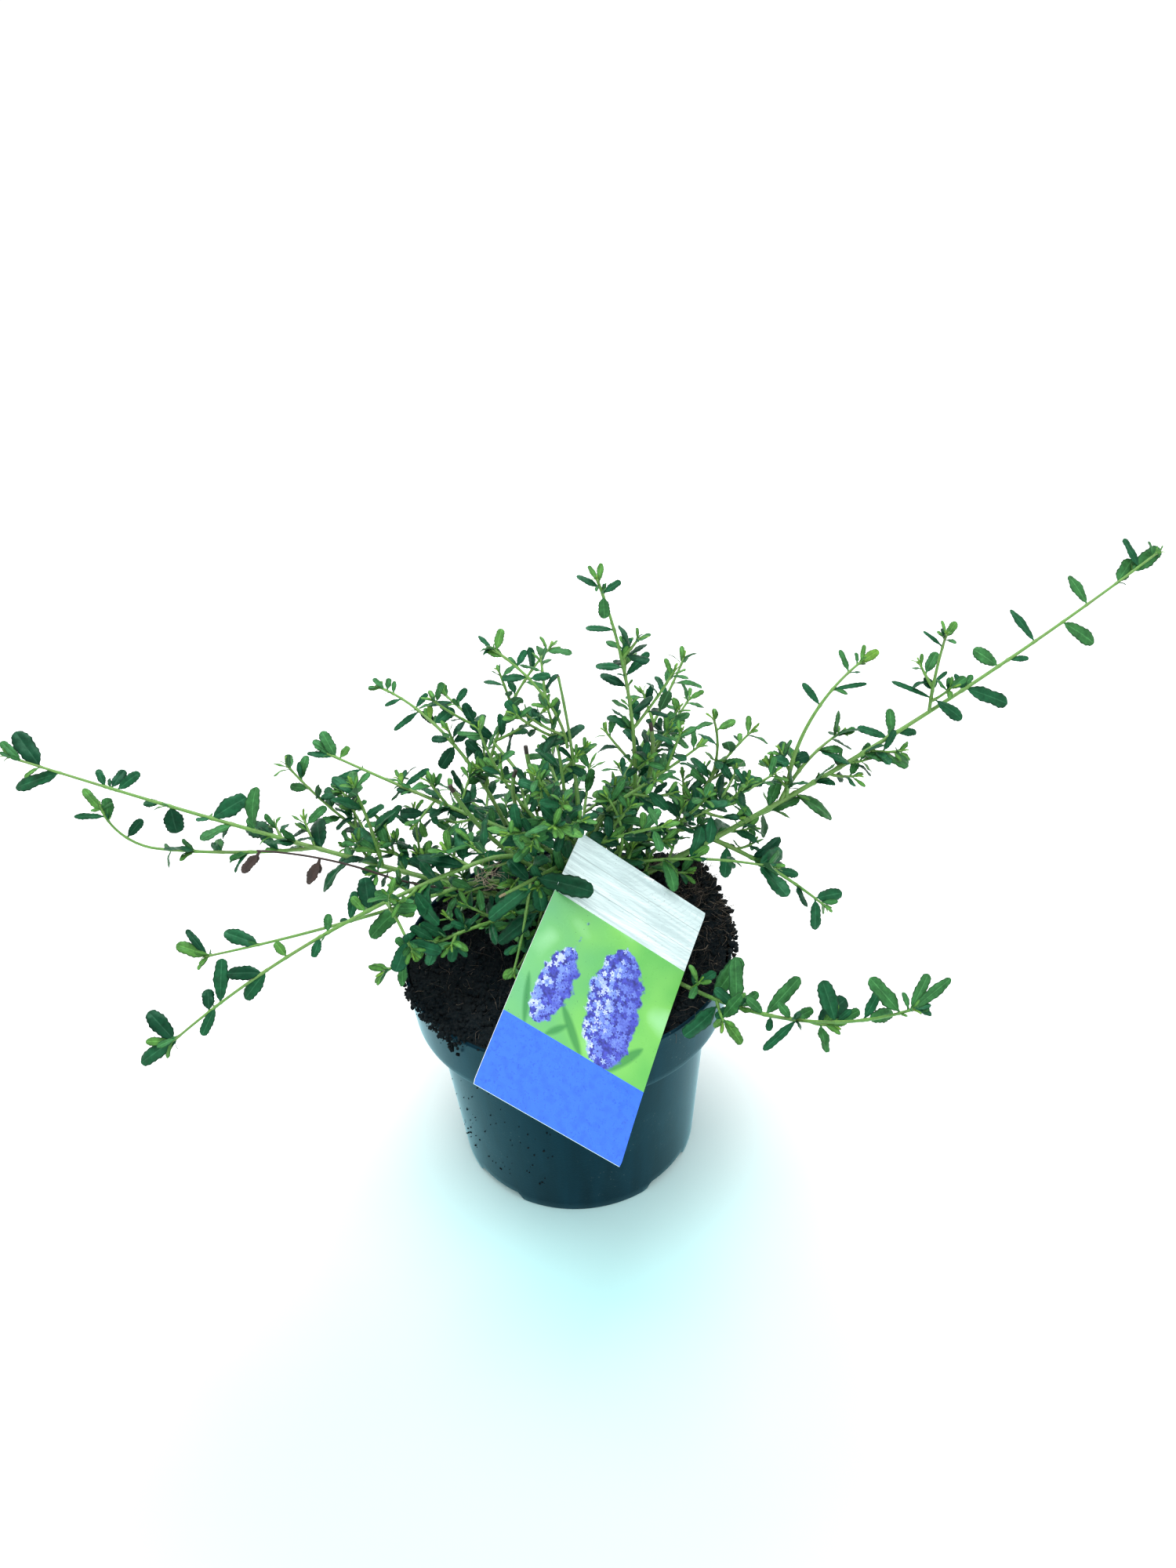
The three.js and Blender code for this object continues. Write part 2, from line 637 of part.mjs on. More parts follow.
// The boughs first, then every stem and side shoot, then the spurs and leaves that fill the rest.
const masses = allShoots.map((row) => {
  const shoot = shootOf(row);
  const mass = { name: `leaves_${row.name}`, solids: [], stems: [{ shoot, from: row.bough }] };
  if (row.bough > 0) {
    const bough = limb(shoot, 0, row.bough, LIMB_SIDES, 12);
    place(`bough_${row.name}`, bough);
    addMesh(`bough_${row.name}`, bough, MATERIALS.stem);
    mass.stems[0].from = row.bough + CLEARANCE;
  }
  for (const side of row.sides ?? []) {
    const sideShoot = new Shoot({
      start: shoot.point(row.bough + side.at),
      heading: side.heading,
      lifts: side.lifts,
      stretches: side.stretches,
      girth: 1.8 * shoot.radius(row.bough + side.at),
    });
    mass.stems.push({ shoot: sideShoot, from: 0 });
  }
  for (const { shoot: stem, from } of mass.stems) addStem(mass, stem, from);
  return { row, mass };
});

masses.forEach(({ row, mass }, index) => {
  const random = seeded(index + 1);
  for (const { shoot, from } of [...mass.stems]) {
    for (const spur of addSpurs(mass, shoot, from + 6, row.habit, random)) {
      addStem(mass, spur, 0);
      mass.stems.push({ shoot: spur, from: 3 });
    }
  }
  for (const { shoot, from } of mass.stems) addLeaves(mass, shoot, from + 3, row.habit, random);
  addMesh(mass.name, wasm.Manifold.union(mass.solids), MATERIALS.leaf);
});

export default model;
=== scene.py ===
"""Looks of the potted california lilac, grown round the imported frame.

Lengths in the tables are millimetres, as in the part's source, and every mesh is made in metres.
"""

import math

import bpy
import numpy as np
from bpy.props import FloatProperty, FloatVectorProperty, IntProperty, PointerProperty
from mathutils import Matrix, Vector, noise


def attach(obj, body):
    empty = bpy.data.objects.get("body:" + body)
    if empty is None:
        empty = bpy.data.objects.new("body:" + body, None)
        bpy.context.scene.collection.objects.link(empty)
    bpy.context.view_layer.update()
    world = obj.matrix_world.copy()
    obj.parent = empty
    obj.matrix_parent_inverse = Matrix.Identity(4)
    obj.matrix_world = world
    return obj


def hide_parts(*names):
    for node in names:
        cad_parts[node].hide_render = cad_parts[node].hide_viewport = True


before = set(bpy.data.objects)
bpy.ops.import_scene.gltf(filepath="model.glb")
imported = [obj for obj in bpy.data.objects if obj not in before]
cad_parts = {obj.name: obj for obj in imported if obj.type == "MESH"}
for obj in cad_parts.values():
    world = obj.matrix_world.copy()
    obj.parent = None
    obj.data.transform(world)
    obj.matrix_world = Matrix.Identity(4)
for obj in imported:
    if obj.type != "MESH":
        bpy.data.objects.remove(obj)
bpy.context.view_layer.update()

bl_info = {
    "name": "Potted california lilac",
    "version": (1, 0, 0),
    "blender": (4, 5, 0),
    "location": "3D View > Sidebar > Lilac",
    "description": "Builds the pot, soil, label, stems and leaves of a young california lilac",
    "category": "Object",
}

MM = 0.001
BODY = "root"
X, Z = np.eye(3)[[0, 2]]


# ------------------------------------------------------------------ sizes shared with the source

RIM_RADIUS = 85.0
RIM_LEVEL = 130.0
SOIL_LEVEL = 126.0
SOIL_FOOT = np.array([0.0, 8.0])
FOOT_LEVEL = 137.7
FOOT_RADIUS = 9.0
FOOT_SPREAD = 40.0
MOUND = np.array([64.0, 28.0])
MOUND_HEIGHT = 23.0
MOUND_SPREAD = 25.0

# Between a shoot and the leader, and between the leader and the soil.
GAP = 0.3
LEADER = {
    "heading": 10, "lifts": [72, 90, 98], "stretches": [63, 84], "girth": 10,
    "tip": 1.8, "flare": 1.5, "flare_height": 5, "below": 3, "taper": 3,
}
# The share of the leader's length up to which its bark is brown.
GREEN_FROM = 0.42
# Cut stubs of older shoots: heading, height of the foot above the soil, lifts, stretches, girth.
STUBS = [
    (160, 50, [-10, 69, 87], [20, 44], 2.6),
    (175, 42, [10, 41, 110], [20, 46], 2.4),
    (165, 24, [10, 32, 69], [30, 56], 2.8),
    (21, 38, [8, 59, 100], [40, 50], 2.6),
]
# An older shoot cut short towards the front; a green twig hangs from it beside the card.
FRONT_STUB = (238, 42, [18, 17], [69], 3.0)
HANGING_TWIG = (43, 243, [-66, -62, -46], [19, 27])

# The shoots: name, heading, foot, lifts, bough, mass and girth, as in the source, and the side
# shoots with their distance along the mass, heading, lifts and stretches.
OPEN_SHOOTS = [
    ("left_long", 172, 10, [6, 16, 20], 60, 235, 3.4,
     [(72, 174, [-8, 6, 90], [85, 40]), (36, 160, [85, 73], [50])]),
    ("left_low_far", 188, 6, [70, -14, -4], 60, 146, 2.6, []),
    ("left_low_near", 196, 17, [88, -10, -37], 60, 191, 2.8, [(50, 295, [10, -25], [38])]),
    ("right_long", 14, 10, [16, 21, 33], 70, 275, 3.6,
     [(6, 340, [-18, -38], [69]), (50, 25, [92, 25], [85]), (46, 28, [62, 13], [50]),
      (136, 0, [90, 80], [44])]),
    ("right_thin", 352, 19, [56, 9, -12], 40, 63, 2.0, []),
    ("right_low", 316, 9, [-22, 8, 53], 84, 140, 2.6, []),
    ("front_hanging", 225, 36, [23, -67, -31], 0, 65, 2.0, []),
]
DENSE_SHOOTS = [
    ("front_left", 212, 10, [23, 10, -13], 40, 63, 2.4, []),
    ("upper_left", 156, 36, [23, 13, 16], 45, 106, 2.8, []),
    ("left_mid", 161, 17, [-25, 14, 53], 60, 115, 2.6, []),
    ("back_left", 137, 24, [-17, 60, -3], 55, 111, 2.8, [(19, 35, [78, 32], [84])]),
    ("rear_left", 131, 29, [73, 36, 12], 45, 80, 2.4, []),
    ("middle_left", 152, 44, [20, 42, 75], 25, 56, 2.2, []),
    ("middle", 165, 62, [71, 88, 77], 0, 66, 2.0, []),
    ("top_left", 158, 105, [85, 60, 27], 0, 62, 1.6, []),
    ("tall", 28, 30, [-5, 85, 110], 45, 138, 2.6, []),
    ("rear_right_high", 47, 40, [44, 39, 49], 50, 64, 2.4, []),
    ("rear_right_low", 50, 22, [46, 31, 26], 50, 69, 2.4, []),
    ("right_upright", 24, 18, [3, 34, 108], 60, 70, 2.6, [(10, 20, [66, 35], [56])]),
    ("right_mid", 7, 27, [45, 16, 32], 50, 61, 2.4, []),
    ("right_upper", 12, 48, [75, 27, 33], 30, 47, 2.2, []),
    ("front_up", 345, 30, [-9, 66, 123], 0, 62, 2.0, []),
    ("back_low", 95, 12, [28, 8, -22], 45, 92, 2.6, []),
    ("back_right_low", 66, 6, [34, 8, -20], 45, 95, 2.6, []),
    ("back_left_low", 122, 7, [30, 6, -16], 45, 88, 2.6, []),
]
# Short shoots inside the crown, by heading and foot.
INNER_FEET = [(228, 50), (256, 60), (325, 44), (80, 34), (108, 44)]
INNER_SHOOTS = [
    (f"inner_{number}", heading, foot, [48, 36, 26], 0, 56, 2, [])
    for number, (heading, foot) in enumerate(INNER_FEET, 1)
]
# Heading, foot, lifts, stretches and girth; then, for each leaf, its share of the way along the
# twig, its heading, lift and length.
DEAD_TWIG = (184, 30, [-16, 30, 10], [100, 60], 1.8)
DEAD_LEAVES = [(0.81, 222, -50, 16), (0.99, 206, -38, 15)]

# The two habits. The source's distance between leaves, chance of a spur and length of one; then
# the steps between twiglets and their chance, the length left bare where a mass starts, and the
# size of the leaves on side shoots.
OPEN = {"pitch": 18, "spurs": 0.15, "spur": 14, "step": 12.0, "twiglets": 0.32, "bare": 8, "side": 0.75}
DENSE = {"pitch": 14, "spurs": 0.45, "spur": 26, "step": 8.0, "twiglets": 0.36, "bare": 4, "side": 1.0}


# ------------------------------------------------------------------ leaves, label and soil

# How thickly a shoot is clothed beside the others of its habit.
LEAFINESS = {
    "top_left": 0.25, "middle": 0.45, "middle_left": 0.4, "tall": 0.6, "back_left": 0.85,
    "rear_left": 0.5, "rear_right_high": 0.6, "right_upper": 0.7, "right_upright": 0.8,
    "left_mid": 1.2, "upper_left": 1.1, "front_up": 0.8, "front_left": 1.5, "right_mid": 1.6,
    "left_long": 1.7, "left_low_far": 0.4, "left_low_near": 0.6, "right_long": 1.5,
    "right_low": 0.3, "right_thin": 1.0,
}
# How far short of the source's reach a shoot stops; its last leaves make up the rest.
STOPS_SHORT = {"right_low": 20, "left_low_far": 14, "left_low_near": 14, "tall": 6}
# The leaves towards the tips of some shoots, by shoot and stem (0 for its own, 1 for its first
# side shoot): distance, heading, lift, length, width and colour.
SHOOT_LEAVES = {
    ("tall", 0): [
        (117, 162, 26, 14, 4.8, "dark"), (123, 27, 36, 16, 4.2, "green"), (128, 175, 8, 13, 4.2, "green"),
        (134, 42, 47, 10, 3.0, "green"), (149, 174, 9, 13, 3.4, "green"), (168, 273, -58, 10, 5.3, "fresh"),
        (169, 20, 29, 10, 3.4, "green"), (172, 160, 29, 12, 3.2, "green"), (175, 69, 56, 9, 3.0, "tip"),
        (176, 131, 50, 8, 2.6, "tip"),
    ],
    ("top_left", 0): [
        (39, 5, 8, 10, 4.2, "green"), (40, 178, 3, 12, 4.2, "green"), (47, 43, 47, 9, 3.4, "green"),
        (54, 161, 28, 10, 4.8, "tip"), (59, 61, 54, 11, 4.2, "tip"), (61, 148, 40, 9, 2.4, "green"),
    ],
    ("left_long", 0): [
        (187, 18, 26, 20, 9.7, "green"), (209, 287, -57, 14, 10.0, "dark"), (214, 160, -4, 12, 4.6, "green"),
        (237, 24, 32, 14, 5.6, "green"), (240, 60, 30, 12, 5.0, "dark"), (243, 128, 51, 10, 4.0, "green"),
        (267, 187, -10, 25, 7.8, "green"), (277, 141, 44, 23, 9.6, "dark"), (287, 151, 37, 15, 4.8, "fresh"),
    ],
    ("left_long", 1): [
        (102, 33, 41, 12, 5.2, "dark"), (115, 96, 58, 12, 6.5, "fresh"), (118, 182, 8, 16, 3.6, "green"),
        (121, 145, 42, 16, 4.6, "tip"),
    ],
    ("left_low_far", 0): [
        (118, 75, 50, 15, 5.0, "green"), (165, 167, 20, 19, 7.5, "green"), (190, 168, 19, 18, 6.7, "tip"),
        (191, 144, 43, 17, 4.0, "dark"),
    ],
    ("left_low_near", 0): [
        (119, 100, 55, 16, 9.0, "dark"), (121, 150, 45, 10, 4.6, "tip"), (142, 80, 60, 9, 4.2, "fresh"),
        (146, 250, -30, 10, 4.6, "green"), (165, 148, 50, 9, 4.6, "tip"), (177, 210, -39, 18, 7.6, "green"),
        (179, 178, 3, 18, 7.2, "dark"), (205, 84, 58, 21, 7.0, "green"), (208, 232, -40, 15, 5.5, "green"),
        (212, 100, 45, 11, 6.0, "dark"), (232, 197, -25, 24, 7.8, "green"), (235, 148, 40, 19, 8.4, "dark"),
        (236, 178, 3, 14, 4.4, "tip"),
    ],
    ("right_long", 0): [
        (181, 166, 21, 16, 5.0, "green"), (183, 84, 58, 14, 5.6, "fresh"), (186, 10, -4, 12, 4.4, "green"),
        (226, 100, 40, 10, 3.6, "green"), (228, 350, -16, 24, 8.2, "green"), (248, 154, 35, 15, 8.8, "fresh"),
        (254, 350, 10, 10, 3.2, "green"), (270, 136, 48, 20, 5.0, "green"), (287, 342, -26, 20, 8.0, "fresh"),
        (302, 130, 51, 17, 6.6, "fresh"), (320, 35, 42, 15, 7.4, "fresh"), (329, 22, 31, 20, 8.0, "fresh"),
        (333, 121, 54, 16, 4.8, "green"),
    ],
    ("right_long", 2): [
        (20, 168, 19, 10, 7.2, "green"), (22, 10, 15, 9, 6.4, "dark"), (54, 138, 47, 14, 4.2, "green"),
        (64, 5, 8, 18, 2.6, "green"), (76, 117, 55, 12, 3.4, "fresh"), (83, 18, 26, 12, 4.7, "young"),
        (84, 59, 54, 9, 2.6, "tip"),
    ],
    ("right_long", 4): [
        (8, 163, 25, 21, 3.2, "green"), (12, 122, 53, 8, 5.2, "dark"), (17, 22, 30, 9, 2.2, "green"),
        (37, 150, 38, 12, 2.4, "green"), (42, 34, 42, 10, 4.2, "tip"), (43, 104, 57, 8, 2.0, "tip"),
    ],
    ("back_left", 0): [
        (102, 215, -42, 14, 7.1, "dark"), (104, 18, 26, 9, 4.2, "dark"), (106, 174, 9, 10, 4.6, "dark"),
        (119, 22, 30, 13, 6.3, "green"), (122, 90, 58, 9, 3.4, "young"), (124, 110, 50, 6, 2.6, "tip"),
        (131, 198, -26, 17, 3.6, "green"), (132, 338, -31, 11, 4.4, "dark"), (134, 33, 41, 10, 3.4, "green"),
        (145, 188, -13, 10, 2.8, "green"), (152, 76, 57, 7, 2.6, "fresh"), (157, 71, 56, 7, 3.4, "fresh"),
        (159, 148, 40, 9, 3.2, "fresh"), (162, 190, 10, 7, 2.8, "tip"),
    ],
    ("upper_left", 0): [
        (92, 172, 12, 10, 3.9, "dark"), (94, 19, 27, 7, 3.3, "tip"), (99, 20, 29, 16, 3.6, "green"),
        (101, 80, 50, 7, 2.8, "young"), (124, 189, -14, 18, 3.6, "green"), (138, 35, 42, 8, 3.8, "tip"),
        (140, 132, 50, 16, 6.4, "fresh"), (141, 173, 11, 15, 3.6, "green"), (143, 150, 34, 13, 4.6, "fresh"),
        (144, 110, 48, 9, 3.4, "tip"),
    ],
    ("rear_left", 0): [
        (111, 344, -24, 10, 4.4, "green"), (114, 37, 44, 10, 4.0, "green"), (116, 180, 0, 14, 3.0, "dark"),
        (121, 129, 51, 9, 4.2, "tip"),
    ],
    ("right_low", 0): [
        (88, 33, 41, 23, 8.8, "fresh"), (100, 199, -28, 10, 4.6, "green"), (101, 151, 38, 12, 5.6, "green"),
        (102, 83, 58, 22, 7.6, "fresh"), (104, 21, 30, 11, 4.8, "fresh"), (118, 149, 40, 10, 5.0, "fresh"),
        (119, 27, 35, 23, 6.6, "fresh"), (122, 255, -50, 7, 3.4, "green"), (134, 140, 45, 9, 4.4, "fresh"),
        (135, 13, 20, 10, 4.8, "fresh"), (137, 204, -33, 20, 4.0, "green"), (159, 111, 56, 18, 8.4, "green"),
        (160, 13, 20, 11, 4.6, "fresh"), (175, 39, 45, 16, 4.6, "green"), (177, 20, -4, 14, 6.0, "fresh"),
        (196, 143, 44, 18, 7.2, "fresh"), (202, 41, 46, 16, 5.0, "fresh"), (203, 20, 29, 20, 4.6, "fresh"),
    ],
}
# Which way those leaves look, and the light that all leaves turn to.
LEAF_FACE = np.array([0.1, -0.65, 0.75])
LIGHT = np.array([0.0, -0.4, 0.9])

# Twiglets at the front and the left of the crown: the shoot and the distance along it that they
# leave, heading, lift and length.
FRONT_TWIGLETS = [
    ("front_hanging", 10, 251, 29, 35), ("front_left", 14, 262, 4, 16), ("front_left", 26, 250, 12, 14),
    ("front_left", 40, 170, 30, 18), ("left_low_far", 38, 210, 10, 20), ("left_low_near", 30, 235, 0, 20),
    ("left_low_near", 52, 150, 20, 18), ("inner_1", 20, 190, 10, 22), ("inner_1", 34, 262, 20, 18),
    ("left_mid", 118, 140, 60, 30), ("left_mid", 101, 120, 62, 18), ("left_mid", 84, 100, 65, 32),
    ("left_mid", 68, 60, 60, 28), ("left_long", 132, 120, 50, 16), ("upper_left", 66, 60, 50, 20),
    ("upper_left", 80, 230, -20, 16),
]
# Large leaves at the front: colour, root, tip and width.
FRONT_LEAVES = [
    ("dark", (-11.5, -27.0, 193.0), (14.0, -36.5, 193.0), 10.5),
    ("green", (-13.0, -28.5, 190.5), (-36.4, -35.9, 179.0), 9.0),
    ("dark", (-12.0, -33.0, 177.0), (-32.7, -39.5, 167.0), 9.0),
    ("green", (-11.5, -28.0, 190.0), (-10.0, -34.0, 178.0), 7.5),
    ("dark", (-15.0, -27.5, 191.5), (-24.0, -20.0, 200.0), 7.0),
    ("tip", (-21.5, -47.0, 153.5), (-31.0, -46.0, 151.0), 6.0),
]

# The source's step along a shoot, its girth at a tip and the turn from one leaf to the next.
STEP = 4
TIP_GIRTH = 1.2
SPIRAL = math.radians(137.5)
# The turn between the leaves of a tuft, and how far leaves spread from their shoot.
TUFT_TURN = 2.4
SPREAD = math.radians(52)
# Leaves longer than this are made with the large blade.
LARGE_FROM = 10.5
# Between the leaves of twiglets in the crown, on the boughs and at the front.
TWIGLET_PITCH, BOUGH_PITCH, FRONT_PITCH = 4.6, 4.4, 5.0
# The spiral stops so far before the tip, or before the first of the leaves that are given.
BARE_TIP, BEFORE_GIVEN = 3, 10
FRONT_SEED = 500
DEAD_SEED = 77

# The card: its middle, the directions across and down it, half its size with the clearance that
# leaves keep, and the levels behind and before it between which no leaf may lie.
LABEL_CENTRE = np.array([14.0, -67.0, 155.3])
LABEL_SIDE = np.array([60.5, -8.0, -48.0])
LABEL_SLOPE = np.array([-50.0, -118.0, -44.0])
LABEL_REACH = (39.5, 68.5)
LABEL_NEAR = (-0.8, 3.4)
STAKE_WIDTH = 11.0
STAKE_FOOT = np.array([30.0, 6.0, 135.0])
STAKE_DEPTH = 12
# Shares of the card's length at which the boards and the picture end, and the joints of the boards.
WOOD_SHARE = 0.25
PICTURE_SHARE = 0.73
BOARD_JOINTS = (0.082, 0.168)
# On the card, as shares of its length from its top left corner: base, tip and half width.
SPIKES = [(0.115, 0.675, 0.150, 0.405, 0.070), (0.385, 0.690, 0.335, 0.300, 0.108)]
LEAF_SPRAYS = [
    (0.300, 0.725, 0.180, 0.600, 0.022), (0.420, 0.725, 0.520, 0.590, 0.024),
    (0.080, 0.725, 0.030, 0.560, 0.018), (0.170, 0.725, 0.230, 0.660, 0.018),
]

SOIL_SEED = 41
# How far from the middle crumbs lie on the soil.
CRUMB_EDGE = 82.0
# Crumbs over the rim: heading, spread, count and how far they hang.
SPILLS = [(8, 13.2, 330, 8.0), (214, 7.8, 190, 6.0), (228, 3.0, 90, 10.0), (200, 18.0, 120, 1.5)]
FIBRE_SHADES = (("dark", 0.16), ("brown", 0.42), ("straw", 0.75), ("pale", 1.2), ("wool", 2.4))
# Where woolly strands hang in the twigs at the left.
WOOL = np.array([-37.0, -10.0, 183.0])


# ------------------------------------------------------------------ settings

def length_property(name, default, description):
    return FloatProperty(name=name, default=default, description=description, min=0, unit="LENGTH")


def colour_property(name, default, description):
    return FloatVectorProperty(
        name=name, default=default, description=description, subtype="COLOR", size=3, min=0, max=1
    )


class PotSettings(bpy.types.PropertyGroup):
    """Sizes and finish of the nursery pot."""

    rim_radius: length_property("Rim radius", 0.085, "Outside of the pot at its rim")
    band_radius: length_property("Band foot radius", 0.0825, "Outside of the band where it ends")
    shoulder_radius: length_property("Shoulder radius", 0.0735, "Outside of the body under the band")
    base_radius: length_property("Base radius", 0.065, "Outside of the pot at its foot")
    height: length_property("Height", 0.13, "From the floor to the rim")
    band_height: length_property("Band height", 0.03, "Height of the wider band")
    wall: length_property("Wall", 0.0016, "Thickness of the plastic")
    colour: colour_property("Plastic", (0.0010, 0.0135, 0.0240), "Colour of the plastic")
    gloss: colour_property("Gloss", (0.52, 0.87, 0.97), "Tint of what the plastic reflects")


class SoilSettings(bpy.types.PropertyGroup):
    """Peat, crumbs and fibres."""

    crumbs: IntProperty(name="Crumbs", default=4900, min=0, description="Loose lumps on the peat")
    fibres: IntProperty(name="Fibres", default=3000, min=0, description="Fibres in the peat")
    peat: colour_property("Peat", (0.0014, 0.0056, 0.0085), "Colour of the damp peat")
    dry: colour_property("Dry peat", (0.023, 0.026, 0.026), "Colour of its drier crumbs")
    fibre: colour_property("Fibre", (0.15, 0.12, 0.09), "Colour of the fibres")


class LabelSettings(bpy.types.PropertyGroup):
    """The plastic plant label."""

    width: length_property("Width", 0.077, "Across the card")
    length: length_property("Length", 0.135, "Down the card")
    thickness: length_property("Thickness", 0.0005, "Of the card")
    bow: length_property("Bow", 0.0025, "How far the card's ends stand off its middle")
    blossom: colour_property("Blossom", (0.07, 0.09, 0.62), "Main colour of the printed blossom")
    band: colour_property("Band", (0.035, 0.155, 0.80), "Colour of the lower band")
    field: colour_property("Field", (0.095, 0.41, 0.085), "Green behind the blossom")


class PlantSettings(bpy.types.PropertyGroup):
    """Leaves and twigs."""

    long_leaf: length_property("Long leaf", 0.0215, "Leaf on the long outer shoots")
    crown_leaf: length_property("Crown leaf", 0.0140, "Leaf in the crown")
    axil_leaf: length_property("Axil leaf", 0.0072, "Small leaf beside a larger one")
    open_pitch: length_property("Open pitch", 0.0170, "Between leaves of the outer shoots")
    dense_pitch: length_property("Dense pitch", 0.0078, "Between leaves in the crown")
    width_share: FloatProperty(
        name="Leaf width", default=0.385, min=0.1, max=1, description="Width of a leaf for its length"
    )
    # The old leaves' colour also serves as painted shade inside the crown, and the fresh leaves' colour as
    # painted light on the open shoots.
    dark: colour_property("Old leaf", (0.002, 0.033, 0.014), "Oldest leaves")
    green: colour_property("Leaf", (0.008, 0.070, 0.027), "Grown leaves")
    fresh: colour_property("Fresh leaf", (0.030, 0.128, 0.034), "Leaves near the tips")
    tip: colour_property("Tip leaf", (0.065, 0.190, 0.034), "Leaves of the tufts at the tips")
    young: colour_property("Young leaf", (0.120, 0.260, 0.034), "Innermost leaves of the tufts")
    under: colour_property("Underside", (0.050, 0.150, 0.062), "Underside of the leaves")
    twig: colour_property("Twig", (0.115, 0.275, 0.048), "Green twigs")
    bough: colour_property("Bough", (0.098, 0.235, 0.045), "Older green stems")
    bark: colour_property("Bark", (0.085, 0.080, 0.040), "Bark of the leader")
    dead: colour_property("Dead leaf", (0.028, 0.017, 0.014), "Dead leaves and twig")


class StageSettings(bpy.types.PropertyGroup):
    """Floor, lights and camera."""

    floor: colour_property("Floor", (0.97, 0.99, 0.99), "Floor away from the pot")
    # The tint is painted shade: the cyan shadow that falls on the floor before the pot.
    tint: colour_property("Tint", (0.54, 0.97, 0.98), "Painted cyan shade on the floor before the pot")
    sky: FloatProperty(name="Sky", default=1.06, min=0, description="Strength of the white surround")
    key: FloatProperty(name="Key light", default=16.0, min=0, unit="POWER", description="Softbox above")
    lens: FloatProperty(name="Lens", default=27.0, min=1, description="Focal length in millimetres")


class LilacSettings(bpy.types.PropertyGroup):
    """All settings of the potted lilac."""

    pot: PointerProperty(type=PotSettings, name="Pot", description="Pot settings")
    soil: PointerProperty(type=SoilSettings, name="Soil", description="Soil settings")
    label: PointerProperty(type=LabelSettings, name="Label", description="Label settings")
    plant: PointerProperty(type=PlantSettings, name="Plant", description="Plant settings")
    stage: PointerProperty(type=StageSettings, name="Stage", description="Stage settings")


# ------------------------------------------------------------------ shaders

def by_node(operation, reflected=False):
    """An operator that adds a Math node; a reflected one takes the other value first."""
    def method(self, other):
        values = {0: other, 1: self} if reflected else {0: self, 1: other}
        return self.graph.wire("ShaderNodeMath", {"operation": operation}, values)
    return method


class Wire:
    """A shader socket that arithmetic works on; each operation adds its Math node."""

    def __init__(self, graph, socket):
        self.graph = graph
        self.socket = socket

    def of(self, operation, *others):
        """This value and the others put through a Math node."""
        values = dict(enumerate((self, *others)))
        return self.graph.wire("ShaderNodeMath", {"operation": operation}, values)

    __add__ = __radd__ = by_node("ADD")
    __mul__ = __rmul__ = by_node("MULTIPLY")
    __sub__ = by_node("SUBTRACT")
    __rsub__ = by_node("SUBTRACT", reflected=True)
    __truediv__ = by_node("DIVIDE")
    __rtruediv__ = by_node("DIVIDE", reflected=True)
    __pow__ = by_node("POWER")
    __rpow__ = by_node("POWER", reflected=True)
    __gt__ = by_node("GREATER_THAN")
    __lt__ = by_node("LESS_THAN")


